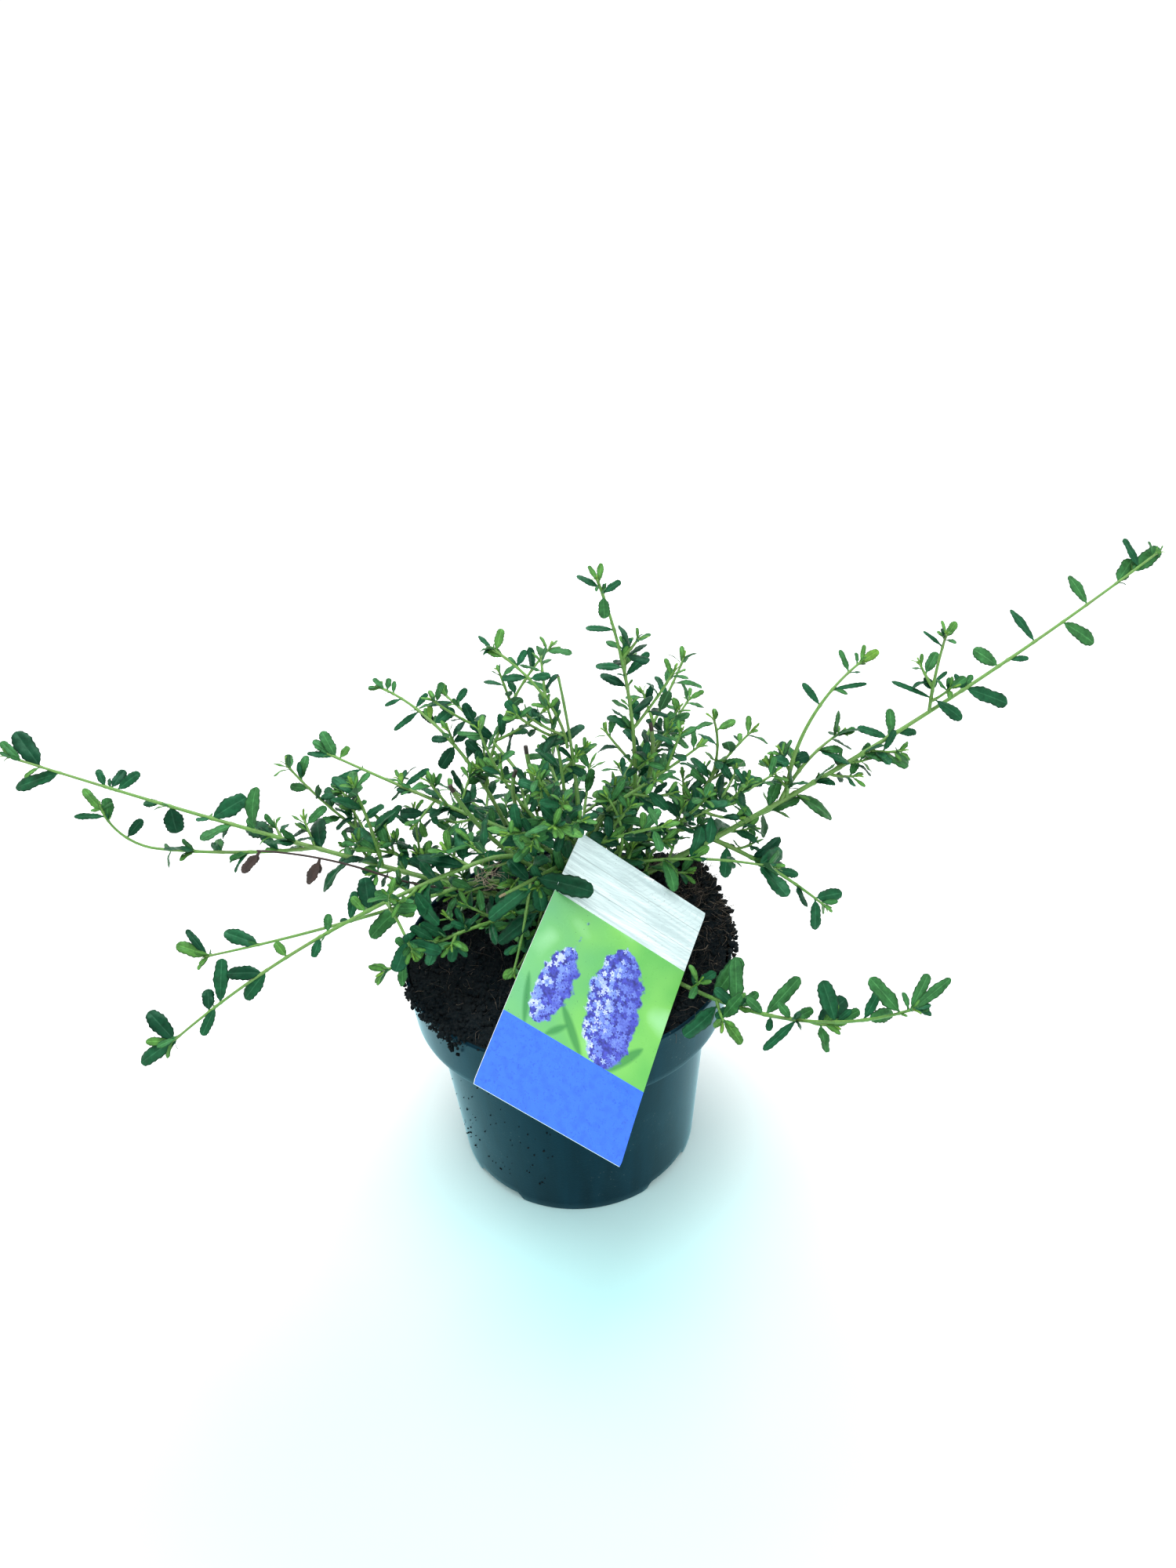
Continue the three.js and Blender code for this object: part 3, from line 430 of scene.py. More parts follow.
class Graph:
    """The node tree of one material, with its Principled shader."""

    def __init__(self, name, **constants):
        self.material = bpy.data.materials.new(name)
        self.material.use_nodes = True
        self.tree = self.material.node_tree
        self.tree.nodes.clear()
        values = {key.replace("_", " "): value for key, value in constants.items()}
        self.shader = self.node("ShaderNodeBsdfPrincipled", values=values)
        self.output = self.node("ShaderNodeOutputMaterial", values={"Surface": self.shader.outputs[0]})
        self.normal = None

    def node(self, kind, settings=None, values=None):
        node = self.tree.nodes.new(kind)
        for key, setting in (settings or {}).items():
            setattr(node, key, setting)
        for key, value in (values or {}).items():
            self.feed(node.inputs[key], value)
        return node

    def feed(self, socket, value):
        if isinstance(value, Wire):
            value = value.socket
        if isinstance(value, bpy.types.NodeSocket):
            self.tree.links.new(value, socket)
        else:
            socket.default_value = value

    def wire(self, kind, settings=None, values=None, output=0):
        return Wire(self, self.node(kind, settings, values).outputs[output])

    def place(self):
        return self.node("ShaderNodeTexCoord").outputs["Object"]

    def stretched(self, scale, place=None):
        values = {"Vector": place or self.place(), "Scale": scale}
        return self.node("ShaderNodeMapping", values=values).outputs[0]

    def noise(self, scale, detail=3.0, place=None, roughness=0.5):
        values = {"Scale": scale, "Detail": detail, "Roughness": roughness}
        return self.wire("ShaderNodeTexNoise", values={"Vector": place or self.place(), **values})

    def cells(self, scale, place=None):
        values = {"Vector": place or self.place(), "Scale": scale}
        return self.wire("ShaderNodeTexVoronoi", {"feature": "F1"}, values, "Distance")

    def ramp(self, value, low, high, start=0.0, end=1.0, smooth=False):
        values = {"Value": value, "From Min": low, "From Max": high, "To Min": start, "To Max": end}
        settings = {"clamp": True, "interpolation_type": "SMOOTHSTEP" if smooth else "LINEAR"}
        return self.wire("ShaderNodeMapRange", settings, values)

    def mix(self, share, first, second):
        settings = {"data_type": "RGBA", "blend_type": "MIX", "clamp_factor": True}
        return self.wire("ShaderNodeMix", settings, {0: share, 6: first, 7: second}, 2)

    def shades(self, value, low, high, colour, dark, light):
        """A colour that goes from dark to light times itself as the value runs from low to high."""
        return self.mix(self.ramp(value, low, high), opaque(colour, dark), opaque(colour, light))

    def parts(self, vector, kind="ShaderNodeSeparateXYZ"):
        """The first two parts of a vector or a colour."""
        split = self.node(kind, values={0: vector})
        return Wire(self, split.outputs[0]), Wire(self, split.outputs[1])

    def vectors(self, operation, first, second):
        """The result of a Vector Math node."""
        values = {0: first, 1: second}
        return self.node("ShaderNodeVectorMath", {"operation": operation}, values).outputs[0]

    def bump(self, height, strength, distance):
        values = {"Height": height, "Strength": strength, "Distance": distance}
        self.normal = self.node("ShaderNodeBump", values=values).outputs[0]
        self.feed(self.shader.inputs["Normal"], self.normal)

    def glaze(self, tint, roughness, ior, strength):
        """A tinted gloss that grows from nothing, seen straight on, to its strength at the edges."""
        values = {"Base Color": tint, "Metallic": 1.0, "Roughness": roughness, "Normal": self.normal}
        gloss = self.node("ShaderNodeBsdfPrincipled", values=values)
        straight = ((ior - 1) / (ior + 1)) ** 2
        edge = self.wire("ShaderNodeFresnel", values={"IOR": ior, "Normal": self.normal})
        share = self.ramp(edge, straight, 1.0, 0.0, strength)
        shaders = {0: share, 1: self.shader.outputs[0], 2: gloss.outputs[0]}
        mixed = self.node("ShaderNodeMixShader", values=shaders)
        self.feed(self.output.inputs["Surface"], mixed.outputs[0])

    def set(self, name, value):
        self.feed(self.shader.inputs[name], value)


def opaque(colour, factor=1.0):
    return (*(part * factor for part in colour[:3]), 1.0)


# ------------------------------------------------------------------ meshes

class Batch:
    """Points and faces of many small things that become one mesh."""

    def __init__(self):
        self.points = []
        self.quads = []
        self.quad_finish = []
        self.tris = []
        self.tri_finish = []
        self.count = 0

    def add(self, points, quads, tris=(), quad_finish=0, tri_finish=0):
        self.points.append(np.asarray(points, float).reshape(-1, 3))
        quads = np.asarray(quads, int).reshape(-1, 4)
        tris = np.asarray(tris, int).reshape(-1, 3)
        self.quads.append(quads + self.count)
        self.tris.append(tris + self.count)
        self.quad_finish.append(np.broadcast_to(quad_finish, len(quads)))
        self.tri_finish.append(np.broadcast_to(tri_finish, len(tris)))
        self.count += len(self.points[-1])

    def piece(self, name, slot, materials, sharp=None):
        """Makes the mesh, sets its materials and lets it ride on the body."""
        quads = np.concatenate(self.quads)
        tris = np.concatenate(self.tris)
        corners = np.concatenate([quads.ravel(), tris.ravel()]).astype(np.int32)
        starts = np.concatenate([4 * np.arange(len(quads)), quads.size + 3 * np.arange(len(tris))])
        finishes = np.concatenate(self.quad_finish + self.tri_finish).astype(np.int32)
        mesh = bpy.data.meshes.new(name)
        mesh.vertices.add(self.count)
        mesh.vertices.foreach_set("co", (np.concatenate(self.points) * MM).astype(np.float32).ravel())
        mesh.loops.add(len(corners))
        mesh.loops.foreach_set("vertex_index", corners)
        mesh.polygons.add(len(starts))
        mesh.polygons.foreach_set("loop_start", starts.astype(np.int32))
        mesh.polygons.foreach_set("material_index", finishes)
        mesh.update(calc_edges=True)
        mesh.validate()
        mesh.shade_smooth()
        if sharp is not None:
            mesh.set_sharp_from_angle(angle=math.radians(sharp))
        return dress(bpy.data.objects.new(name, mesh), materials)


def dress(piece, materials):
    bpy.context.scene.collection.objects.link(piece)
    for material in materials:
        piece.data.materials.append(material)
    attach(piece, BODY)
    return piece


def unit(vector):
    return vector / np.linalg.norm(vector)


def around(radius, turn, level=0.0):
    """The point at a radius and a turn, in radians, round the upright axis."""
    return np.array([radius * math.cos(turn), radius * math.sin(turn), level])


LABEL_ACROSS = unit(LABEL_SIDE)
LABEL_DOWN = unit(LABEL_SLOPE - LABEL_ACROSS * np.dot(LABEL_SLOPE, LABEL_ACROSS))
LABEL_FACE = np.cross(LABEL_DOWN, LABEL_ACROSS)


def grid_quads(rows, columns, closed=False):
    """Faces of a grid of points, row by row; a closed grid joins its last column to its first."""
    across = columns if closed else columns - 1
    row, column = np.meshgrid(np.arange(rows - 1), np.arange(across), indexing="ij")
    following = (column + 1) % columns
    corners = [
        row * columns + column,
        (row + 1) * columns + column,
        (row + 1) * columns + following,
        row * columns + following,
    ]
    return np.stack(corners, -1).reshape(-1, 4)


def fan(centre, start, sides, backwards=False):
    """Faces between the centre point and the ring of points that begins at start."""
    ring = np.arange(sides)
    faces = np.stack([np.full(sides, centre), start + ring, start + (ring + 1) % sides], -1)
    return faces[:, [0, 2, 1]] if backwards else faces


def full_turn(sides):
    return np.linspace(0, 2 * math.pi, sides, endpoint=False)


# ------------------------------------------------------------------ growth

def seeded(seed):
    """Numbers from 0 to 1, the same as the source's."""
    whole = 0xFFFFFFFF
    state = seed & whole

    def number():
        nonlocal state
        state = (state + 0x6D2B79F5) & whole
        mixed = ((state ^ (state >> 15)) * (1 | state)) & whole
        mixed = ((mixed + (((mixed ^ (mixed >> 7)) * (61 | mixed)) & whole)) & whole) ^ mixed
        return ((mixed ^ (mixed >> 14)) & whole) / 4294967296

    return number


def lerp(low, high, share):
    return low + (high - low) * share


def towards(heading, lift):
    """The direction with this heading and lift, both in radians."""
    return around(math.cos(lift), heading, math.sin(lift))


class Shoot:
    """A shoot summed from short straight steps, by the source's rule."""

    def __init__(self, start, heading, lifts, stretches, girth, tip=TIP_GIRTH):
        self.length = float(sum(stretches))
        self.heading = math.radians(heading)
        self.lifts = lifts
        self.bounds = np.concatenate([[0.0], np.cumsum(stretches)])
        self.girth = girth
        self.tip = tip
        steps = max(4, int(self.length / STEP + 0.5))
        self.distances = np.linspace(0, self.length, steps + 1)
        middles = (self.distances[1:] + self.distances[:-1]) / 2
        runs = np.array([self.along(middle) for middle in middles]) * self.length / steps
        self.points = np.concatenate([[start], start + np.cumsum(runs, 0)])

    def lift(self, distance):
        return math.radians(np.interp(distance, self.bounds, self.lifts))

    def along(self, distance):
        return towards(self.heading, self.lift(distance))

    def point(self, distance):
        return np.array([np.interp(distance, self.distances, self.points[:, i]) for i in range(3)])

    def radius(self, distance):
        return lerp(self.girth, self.tip, distance / self.length) / 2

    def frame(self, distance):
        along = self.along(distance)
        side = np.array([math.sin(self.heading), -math.cos(self.heading), 0.0])
        return self.point(distance), along, side, np.cross(side, along)


LEADER_SHOOT = Shoot(
    np.array([*SOIL_FOOT, FOOT_LEVEL + GAP - LEADER["below"]]),
    LEADER["heading"], LEADER["lifts"], LEADER["stretches"], LEADER["girth"], LEADER["tip"],
)


def leader_radius(height):
    left = max(0.0, 1 - height / (LEADER_SHOOT.length - LEADER["below"]))
    girth = lerp(LEADER["tip"], LEADER["girth"], left ** LEADER["taper"])
    return girth / 2 * (1 + (LEADER["flare"] - 1) * math.exp(-height / LEADER["flare_height"]))


def on_leader(height):
    return LEADER_SHOOT.point(height + LEADER["below"])


def shoot_from_leader(heading, foot, lifts, stretches, girth):
    """A shoot that starts at the leader's surface."""
    reach = leader_radius(foot) + GAP + girth / 2 * abs(math.sin(math.radians(lifts[0])))
    start = on_leader(foot) + around(reach, math.radians(heading))
    return Shoot(start, heading, lifts, stretches, girth)


def all_shoots():
    """Every shoot of the plant as (name, shoot, length of its bough, side shoots, habit)."""
    found = []
    for rows, habit in ((OPEN_SHOOTS, OPEN), (DENSE_SHOOTS + INNER_SHOOTS, DENSE)):
        for name, heading, foot, lifts, bough, mass, girth, sides in rows:
            stretches = [bough, mass] if bough else [mass / 3, 2 * mass / 3]
            shoot = shoot_from_leader(heading, foot, lifts, stretches, girth)
            found.append((name, shoot, bough, sides, habit))
    return found


def side_shoots(shoot, bough, sides):
    """The side shoots that leave the stem of a mass."""
    return [
        Shoot(shoot.point(bough + at), heading, lifts, stretches, 1.8 * shoot.radius(bough + at))
        for at, heading, lifts, stretches in sides
    ]


def twig_towards(shoot, distance, turn, length, lean, rise):
    """A twig that leaves a shoot at a turn round it and bends upwards by the share rise."""
    point, along, side, up = shoot.frame(distance)
    direction = along + (side * math.cos(turn) + up * math.sin(turn)) * lean
    heading = math.degrees(math.atan2(direction[1], direction[0]))
    lift = math.degrees(math.atan2(direction[2], math.hypot(direction[0], direction[1])))
    girth = 2 * min(shoot.radius(distance), 0.8)
    return Shoot(point, heading, [lift, lerp(lift, 70, rise)], [length], girth)


def spurs(shoot, first, habit, random):
    """The source's short side twigs along a shoot."""
    found = []
    turn = 2 * math.pi * random()
    distance = first
    while distance < 0.75 * shoot.length:
        turn += SPIRAL
        chance = random()
        length = habit["spur"] * (0.6 + 0.8 * random())
        if chance <= habit["spurs"]:
            found.append(twig_towards(shoot, distance, turn, length, 1.1, 0.4))
        distance += 1.5 * habit["pitch"]
    return found


def tube(batch, shoot, start, end, sides, spacing, radius, relief=None, finish=0, cap_finish=None):
    """The solid of a shoot between two distances, closed at both ends."""
    rings = max(2, int((end - start) / spacing) + 1)
    turns = full_turn(sides)
    points = []
    for distance in np.linspace(start, end, rings):
        inside = min(max(distance, 0.0), shoot.length)
        point, along, side, up = shoot.frame(inside)
        point = point + along * (distance - inside)
        reach = np.full(sides, radius(distance))
        if relief is not None:
            reach = reach * relief(distance, turns)
        points.append(point + np.outer(reach * np.cos(turns), side) + np.outer(reach * np.sin(turns), up))
    points = np.concatenate([*points, [points[0].mean(0), points[-1].mean(0)]])
    count = rings * sides
    ends = np.concatenate([fan(count, 0, sides), fan(count + 1, count - sides, sides, backwards=True)])
    cap = finish if cap_finish is None else cap_finish
    batch.add(points, grid_quads(rings, sides, closed=True), ends, finish, cap)


# ------------------------------------------------------------------ leaves

class Blade:
    """The grid of a leaf: rows from its root to its tip, points across it, and a closed underside."""

    # The MARGIN strips along both edges of a leaf are darkened as painted shade.
    TOP, UNDER, RIB, UNDER_RIB, MARGIN = range(5)
    # Half the width of a leaf where it is thinnest and where it joins its shoot, and its stalk.
    THINNEST, FOOT, PETIOLE = 0.48, 0.60, 1.2
    # For a leaf's width: the swellings between the veins, the groove of the rib and the ripple.
    QUILT, GROOVE, RIPPLE = 0.050, 0.05, 0.07

    def __init__(self, rows, across, veins, teeth):
        steps = np.arange(rows + 1) / rows
        crowded = (1 - np.cos(math.pi * steps)) / 2
        self.share = np.concatenate([[0.0], lerp(steps, crowded, 0.55)])
        self.across = np.array(across, float)
        self.veins = veins
        widening = np.sin(math.pi / 2 * np.clip(steps / 0.50, 0, 1)) ** 0.85
        rounding = np.sqrt(1 - (1 - np.clip((1 - steps) / 0.48, 0, 1)) ** 2.2)
        jag = np.where(np.arange(rows + 1) % 2 == 0, 1 + teeth, 1 - teeth)
        self.outline = np.concatenate([[0.0], widening * rounding * jag])
        self.outline[-1] = 0.10
        rows, columns = rows + 2, len(across)
        self.middle = columns // 2
        strips = np.full(columns - 1, self.TOP)
        strips[self.middle - 1] = self.RIB
        strips[[0, -1]] = self.MARGIN
        row = np.arange(rows - 1)
        left = row * columns
        right = left + columns - 1
        keel = rows * columns + 2 * row
        under = [
            np.stack([left, keel, keel + 2, left + columns], -1),
            np.stack([keel, keel + 1, keel + 3, keel + 2], -1),
            np.stack([keel + 1, right, right + columns, keel + 3], -1),
        ]
        self.quads = np.concatenate([grid_quads(rows, columns), *under])
        finishes = [np.tile(strips, rows - 1)]
        finishes += [np.full(rows - 1, finish) for finish in (self.UNDER, self.UNDER_RIB, self.UNDER)]
        self.quad_finish = np.concatenate(finishes)
        self.tris = np.concatenate([
            self.end(np.arange(columns), rows * columns),
            self.end((rows - 1) * columns + np.arange(columns), rows * columns + 2 * rows - 2)[:, ::-1],
        ])

    def end(self, row, keel):
        """The faces that close one end of the leaf, between a row of its top and its keel."""
        near = [(row[i], row[i + 1], keel) for i in range(self.middle)]
        far = [(row[i], row[i + 1], keel + 1) for i in range(self.middle, len(row) - 1)]
        return np.array([*near, (row[self.middle], keel + 1, keel), *far])

    def points(self, root, direction, face, size, curl, roll, twist, wave, fold, petiole=PETIOLE):
        """Where the points of one leaf lie, with its root at the stem; size is length and width."""
        length, width = size
        across = unit(np.cross(face, direction))
        normal = np.cross(direction, across)
        share = self.share
        reach = np.where(np.arange(len(share)) == 0, 0.0, petiole + (length - petiole) * share)
        wavy = 1 + 0.06 * np.sin(wave + 13 * share)
        half = np.maximum(width / 2 * self.outline * wavy, self.THINNEST)
        half[0] = self.FOOT
        drop = -reach * curl * share / 2
        forwards = reach * (1 - (curl * share) ** 2 / 6)
        shape = self.across[None, :]
        blade = np.clip(self.outline, 0, 1)[:, None]
        slant = share[:, None] - 0.30 * np.abs(shape) * width / length
        quilt = np.sin(2 * math.pi * self.veins * slant) * np.abs(shape) * (1 - np.abs(shape)) * 4
        lift = -roll * half[:, None] * np.abs(shape) ** 2.5 + self.QUILT * width * quilt * blade
        lift = lift - self.GROOVE * width * blade * np.exp(-((shape / 0.16) ** 2))
        lift = lift + self.RIPPLE * width * blade * np.sin(wave * 2 + 9 * share)[:, None] * shape
        lift = lift + fold * half[:, None] * np.abs(shape)
        spin = twist * share[:, None]
        sideways = half[:, None] * shape * np.cos(spin) - lift * np.sin(spin)
        upwards = half[:, None] * shape * np.sin(spin) + lift * np.cos(spin) + drop[:, None]
        forwards = np.broadcast_to(forwards[:, None], sideways.shape)
        top = forwards[..., None] * direction + sideways[..., None] * across + upwards[..., None] * normal
        thick = 0.16 + 0.09 * half
        keel = top[:, [self.middle - 1, self.middle]] - thick[:, None, None] * normal
        return np.concatenate([top.reshape(-1, 3), keel.reshape(-1, 3)]) + root

    def add(self, batch, points):
        batch.add(points, self.quads, self.tris, self.quad_finish, self.UNDER)


LARGE_BLADE = Blade(16, [-1, -0.84, -0.42, -0.07, 0.07, 0.42, 0.84, 1], 5.5, 0.055)
SMALL_BLADE = Blade(8, [-1, -0.76, -0.09, 0.09, 0.76, 1], 3.5, 0.05)


def in_the_way(points):
    """True where a leaf or twig would pass through the pot, the soil or the card."""
    x, y, z = points.T
    away = np.hypot(x, y)
    inside = away < RIM_RADIUS - 5
    in_soil = inside & (z < soil_height(x, y) + 0.6)
    in_pot = ~inside & (away < RIM_RADIUS + 2) & (z < RIM_LEVEL + 1.5)
    if np.any(in_soil | in_pot):
        return True
    across, down, off = ((points - LABEL_CENTRE) @ way for way in (LABEL_ACROSS, LABEL_DOWN, LABEL_FACE))
    over = (np.abs(across) < LABEL_REACH[0]) & (np.abs(down) < LABEL_REACH[1])
    return bool(np.any(over)) and off[over].min() < LABEL_NEAR[1] and off[over].max() > LABEL_NEAR[0]


class Foliage:
    """Collects the leaves of the plant, each kind of colour in its own mesh."""

    KINDS = ("dark", "green", "fresh", "tip", "young")

    def __init__(self, plant):
        self.plant = plant
        self.kinds = {kind: Batch() for kind in self.KINDS}
        self.twigs = Batch()

    def leaf(self, kind, shoot, distance, turn, spread, length, random, narrow=1.0):
        """One leaf at a turn round the shoot; leaves under a level shoot swing out to its sides."""
        point, along, side, up = shoot.frame(distance)
        level = math.cos(shoot.lift(distance))
        upward = math.sin(turn)
        if upward < 0:
            upward *= 1 - 0.6 * level
        outward = unit(side * math.cos(turn) + up * (upward + 0.15 * level))
        direction = unit(along * math.cos(spread) + outward * math.sin(spread))
        jitter = np.array([random() - 0.5, random() - 0.5, random() - 0.5])
        face = along * 0.4 - outward * 0.25 + LIGHT + jitter * 0.9
        root = point + outward * shoot.radius(distance) * 0.4
        self.place(kind, root, direction, face, length, random, narrow)

    def place(self, kind, root, direction, face, length, random, narrow=1.0):
        blade = LARGE_BLADE if length > LARGE_FROM else SMALL_BLADE
        width = length * self.plant.width_share * (0.88 + 0.24 * random()) * narrow
        curl = 0.15 + 0.75 * random() ** 1.5
        roll = 0.10 + 0.30 * random()
        twist = 0.9 * (random() - 0.5)
        wave = 6.3 * random()
        fold = 0.45 * random() ** 1.5
        points = blade.points(root, direction, face, (length, width), curl, roll, twist, wave, fold)
        if not in_the_way(points):
            blade.add(self.kinds[kind], points)

    def reach(self, kind, root, tip, width, face, wave):
        """A leaf whose root and tip are given."""
        run = np.array(tip) - root
        size = (np.linalg.norm(run) * 1.03, width)
        points = LARGE_BLADE.points(np.array(root), unit(run), face, size, 0.3, 0.25, 0.2, wave, 0.15)
        LARGE_BLADE.add(self.kinds[kind], points)

    def kind_at(self, share, random, open_habit):
        """Leaves grow paler towards the tip of their shoot. On the open shoots they are painted paler, as
        painted light. In the crown, half of the leaves along the first two thirds of a shoot take the old
        leaves' dark colour, as painted shade.
        """
        chance = random()
        # Painted light: the open shoots take paler colours than the crown.
        if open_habit and share <= 0.88:
            return "dark" if chance < 0.2 else "green" if chance < 0.65 else "fresh"
        if share > 0.88:
            return "fresh" if chance < 0.6 else "tip"
        if share > 0.65:
            return "fresh" if chance < 0.4 else "green"
        # Painted shade: half the leaves along the lower part of a crown shoot take the darkest colour.
        return "dark" if chance < 0.5 else "green" if chance < 0.94 else "fresh"

    def axils(self, shoot, distance, turn, length, random):
        """One to three small leaves beside a larger one."""
        for _ in range(1 + int(2.6 * random())):
            small = length * (0.6 + 0.8 * random())
            swing = turn + (random() - 0.5) * 2.6
            kind = "tip" if random() < 0.4 else "fresh" if random() < 0.5 else "green"
            self.leaf(kind, shoot, distance, swing, 0.35 + 0.6 * random(), small, random)

    def clothe(self, shoot, first, pitch, length, axil_chance, random, open_habit=False, given=()):
        """Leaves in a spiral along a shoot up to the given ones, with small ones in their axils."""
        axil = self.plant.axil_leaf / MM * (1.35 if open_habit else 1.0)
        turn = 2 * math.pi * random()
        nodes = []
        distance = first
        last = min([shoot.length - BARE_TIP, *(row[0] - BEFORE_GIVEN for row in given)])
        while distance < last:
            nodes.append(distance)
            share = distance / shoot.length
            size = length * (0.78 + 0.44 * random()) * (1 - 0.15 * share**4)
            spread = SPREAD * (0.7 + 0.6 * random())
            kind = self.kind_at(share, random, open_habit)
            self.leaf(kind, shoot, distance, turn, spread, size, random)
            if random() < axil_chance:
                self.axils(shoot, distance, turn, axil, random)
            turn += SPIRAL + 0.3 * (random() - 0.5)
            distance += pitch * (0.75 + 0.5 * random())
        for distance, heading, lift, size, width, kind in given:
            nodes.append(distance)
            root = shoot.point(distance)
            run = towards(math.radians(heading), math.radians(lift)) * size
            self.reach(kind, root, root + run, width, LEAF_FACE, 6.3 * random())
            if random() < 0.4:
                self.axils(shoot, distance, 2 * math.pi * random(), 0.7 * axil, random)
        if open_habit and not given:
            for swing in (0.6, 2.9):
                self.leaf("green", shoot, shoot.length - 7, turn + swing, 0.85, 1.05 * length, random)
        self.tuft(shoot, turn, length * (0.45 if given else 0.72 if open_habit else 1.0), random)
        return nodes

    def tuft(self, shoot, turn, length, random):
        """Leaves that stand close together at a tip, the innermost young and narrow."""
        count = 5 + int(2 * random())
        for index in range(count):
            share = index / (count - 1)
            size = length * lerp(0.88, 0.30, share**0.8) * (0.85 + 0.3 * random())
            spread = lerp(0.95, 0.15, share) * (0.75 + 0.5 * random())
            distance = shoot.length - lerp(3.2, 0.2, share)
            kind = "young" if share > 0.6 else "tip" if share > 0.15 else "fresh"
            narrow = lerp(0.95, 0.62, share)
            self.leaf(kind, shoot, distance, turn, spread, size, random, narrow)
            turn += TUFT_TURN

    def twig(self, shoot, start, nodes):
        """The stem of a shoot, a little thicker at each leaf."""
        places = np.array(nodes)

        def radius(distance):
            swelling = 0.0
            if len(places):
                swelling = 0.30 * math.exp(-((np.abs(places - distance).min() / 0.9) ** 2))
            return max(0.45, shoot.radius(min(max(distance, 0), shoot.length))) * (1 + swelling)

        tube(self.twigs, shoot, start, shoot.length, 7, 1.4, radius)

    def leafy(self, shoot, pitch, length, random):
        """A fine twig with its leaves, left out where it would pass through something."""
        if in_the_way(shoot.points):
            return
        nodes = self.clothe(shoot, 3.5, pitch, length, 0.2, random)
        self.twig(shoot, 0.0, nodes)


def twiglets(shoot, start, end, step, chance, random):
    """Short twigs that carry the crown's finest leaves."""
    found = []
    distance = start + step * random()
    while distance < end:
        if random() < chance:
            length = 8 + 10 * random()
            found.append(twig_towards(shoot, distance, 2 * math.pi * random(), length, 1.1, 0.35))
        distance += step
    return found


def grow_foliage(plant):
    """Grows every mass of leaves and its finer twigs."""
    foliage = Foliage(plant)
    shoots = {}
    for index, (name, shoot, bough, sides, habit) in enumerate(all_shoots()):
        random = seeded(index + 1)
        shoot.length -= STOPS_SHORT.get(name, 0)
        shoots[name] = shoot
        dense = habit is DENSE
        leafiness = LEAFINESS.get(name, 1.0)
        pitch = (plant.dense_pitch if dense else plant.open_pitch) / MM / leafiness**0.5
        length = (plant.crown_leaf if dense else plant.long_leaf) / MM
        small = plant.crown_leaf / MM * 0.85
        stems = [(shoot, float(bough), length)]
        stems += [(side, 0.0, length * habit["side"]) for side in side_shoots(shoot, bough, sides)]
        for number, (stem, start, size) in enumerate(stems):
            for spur in spurs(stem, start + 6, habit, random):
                foliage.leafy(spur, pitch * 0.75, size * 0.85, random)
            end = 0.8 * stem.length if dense else lerp(start, stem.length, 0.4)
            chance = habit["twiglets"] * leafiness
            for twiglet in twiglets(stem, start + 4, end, habit["step"], chance, random):
                foliage.leafy(twiglet, TWIGLET_PITCH, small, random)
            first = start + habit["bare"]
            chance = 0.5 * leafiness if dense else 1.0
            given = SHOOT_LEAVES.get((name, number), [])
            nodes = foliage.clothe(stem, first, pitch, size, chance, random, not dense, given)
            foliage.twig(stem, start - 1.0 if start else -0.5, nodes)
        if bough:
            chance = 0.75 * leafiness if dense else 0.6 * max(leafiness, 0.9)
            for twiglet in twiglets(shoot, 10.0, float(bough), 7.0, chance, random):
                foliage.leafy(twiglet, BOUGH_PITCH, small, random)
    random = seeded(FRONT_SEED)
    for name, distance, heading, lift, length in FRONT_TWIGLETS:
        twiglet = Shoot(shoots[name].point(distance), heading, [lift, lift - 6], [length], 1.3)
        foliage.leafy(twiglet, FRONT_PITCH, plant.crown_leaf / MM, random)
    grow_front(foliage, random)
    return foliage


def grow_front(foliage, random):
    """The green twig that hangs beside the card, and the large leaves round its root."""
    heading, foot, lifts, stretches, girth = FRONT_STUB
    stub = shoot_from_leader(heading, foot, lifts, stretches, girth)
    distance, heading, lifts, stretches = HANGING_TWIG
    twig = Shoot(stub.point(distance), heading, lifts, stretches, 1.6)
    nodes = foliage.clothe(twig, 16.0, 17.0, 8.0, 0.6, random)
    foliage.twig(twig, 0.0, nodes)
    for index, (kind, root, tip, width) in enumerate(FRONT_LEAVES):
        foliage.reach(kind, root, tip, width, LIGHT, 1.7 * index)


# ------------------------------------------------------------------ materials of the plant

LEAF_GLOSS = (0.36, 1.0, 0.62, 1.0)


def leaf_material(name, colour, roughness, mottle=0.38):
    graph = Graph(name, Roughness=roughness, Specular_IOR_Level=0.30, Specular_Tint=LEAF_GLOSS)
    patches = graph.noise(210.0, 6.0, roughness=0.7)
    graph.set("Base Color", graph.shades(patches, 0.35, 0.65, colour, 1 - mottle, 1 + mottle))
    spots = graph.noise(600.0, 2.0)
    graph.set("Roughness", graph.ramp(spots, 0.3, 0.7, roughness - 0.08, roughness + 0.12))
    graph.bump(graph.noise(1900.0, 3.0), 0.22, 0.0003)
    return graph.material


def stem_material(name, colour, streak):
    graph = Graph(name, Roughness=0.45)
    streaks = graph.noise(900.0, 4.0)
    patches = graph.noise(55.0, 2.0)
    tone = graph.shades(streaks, 0.35, 0.7, colour, 0.8, 1.2)
    tone = graph.mix(graph.ramp(patches, 0.5, 0.8, 0.0, 0.35), tone, opaque(streak))
    graph.set("Base Color", tone)
    graph.set("Roughness", graph.ramp(streaks, 0.3, 0.7, 0.38, 0.6))
    graph.bump(graph.noise(1500.0, 3.0), 0.3, 0.0004)
    return graph.material


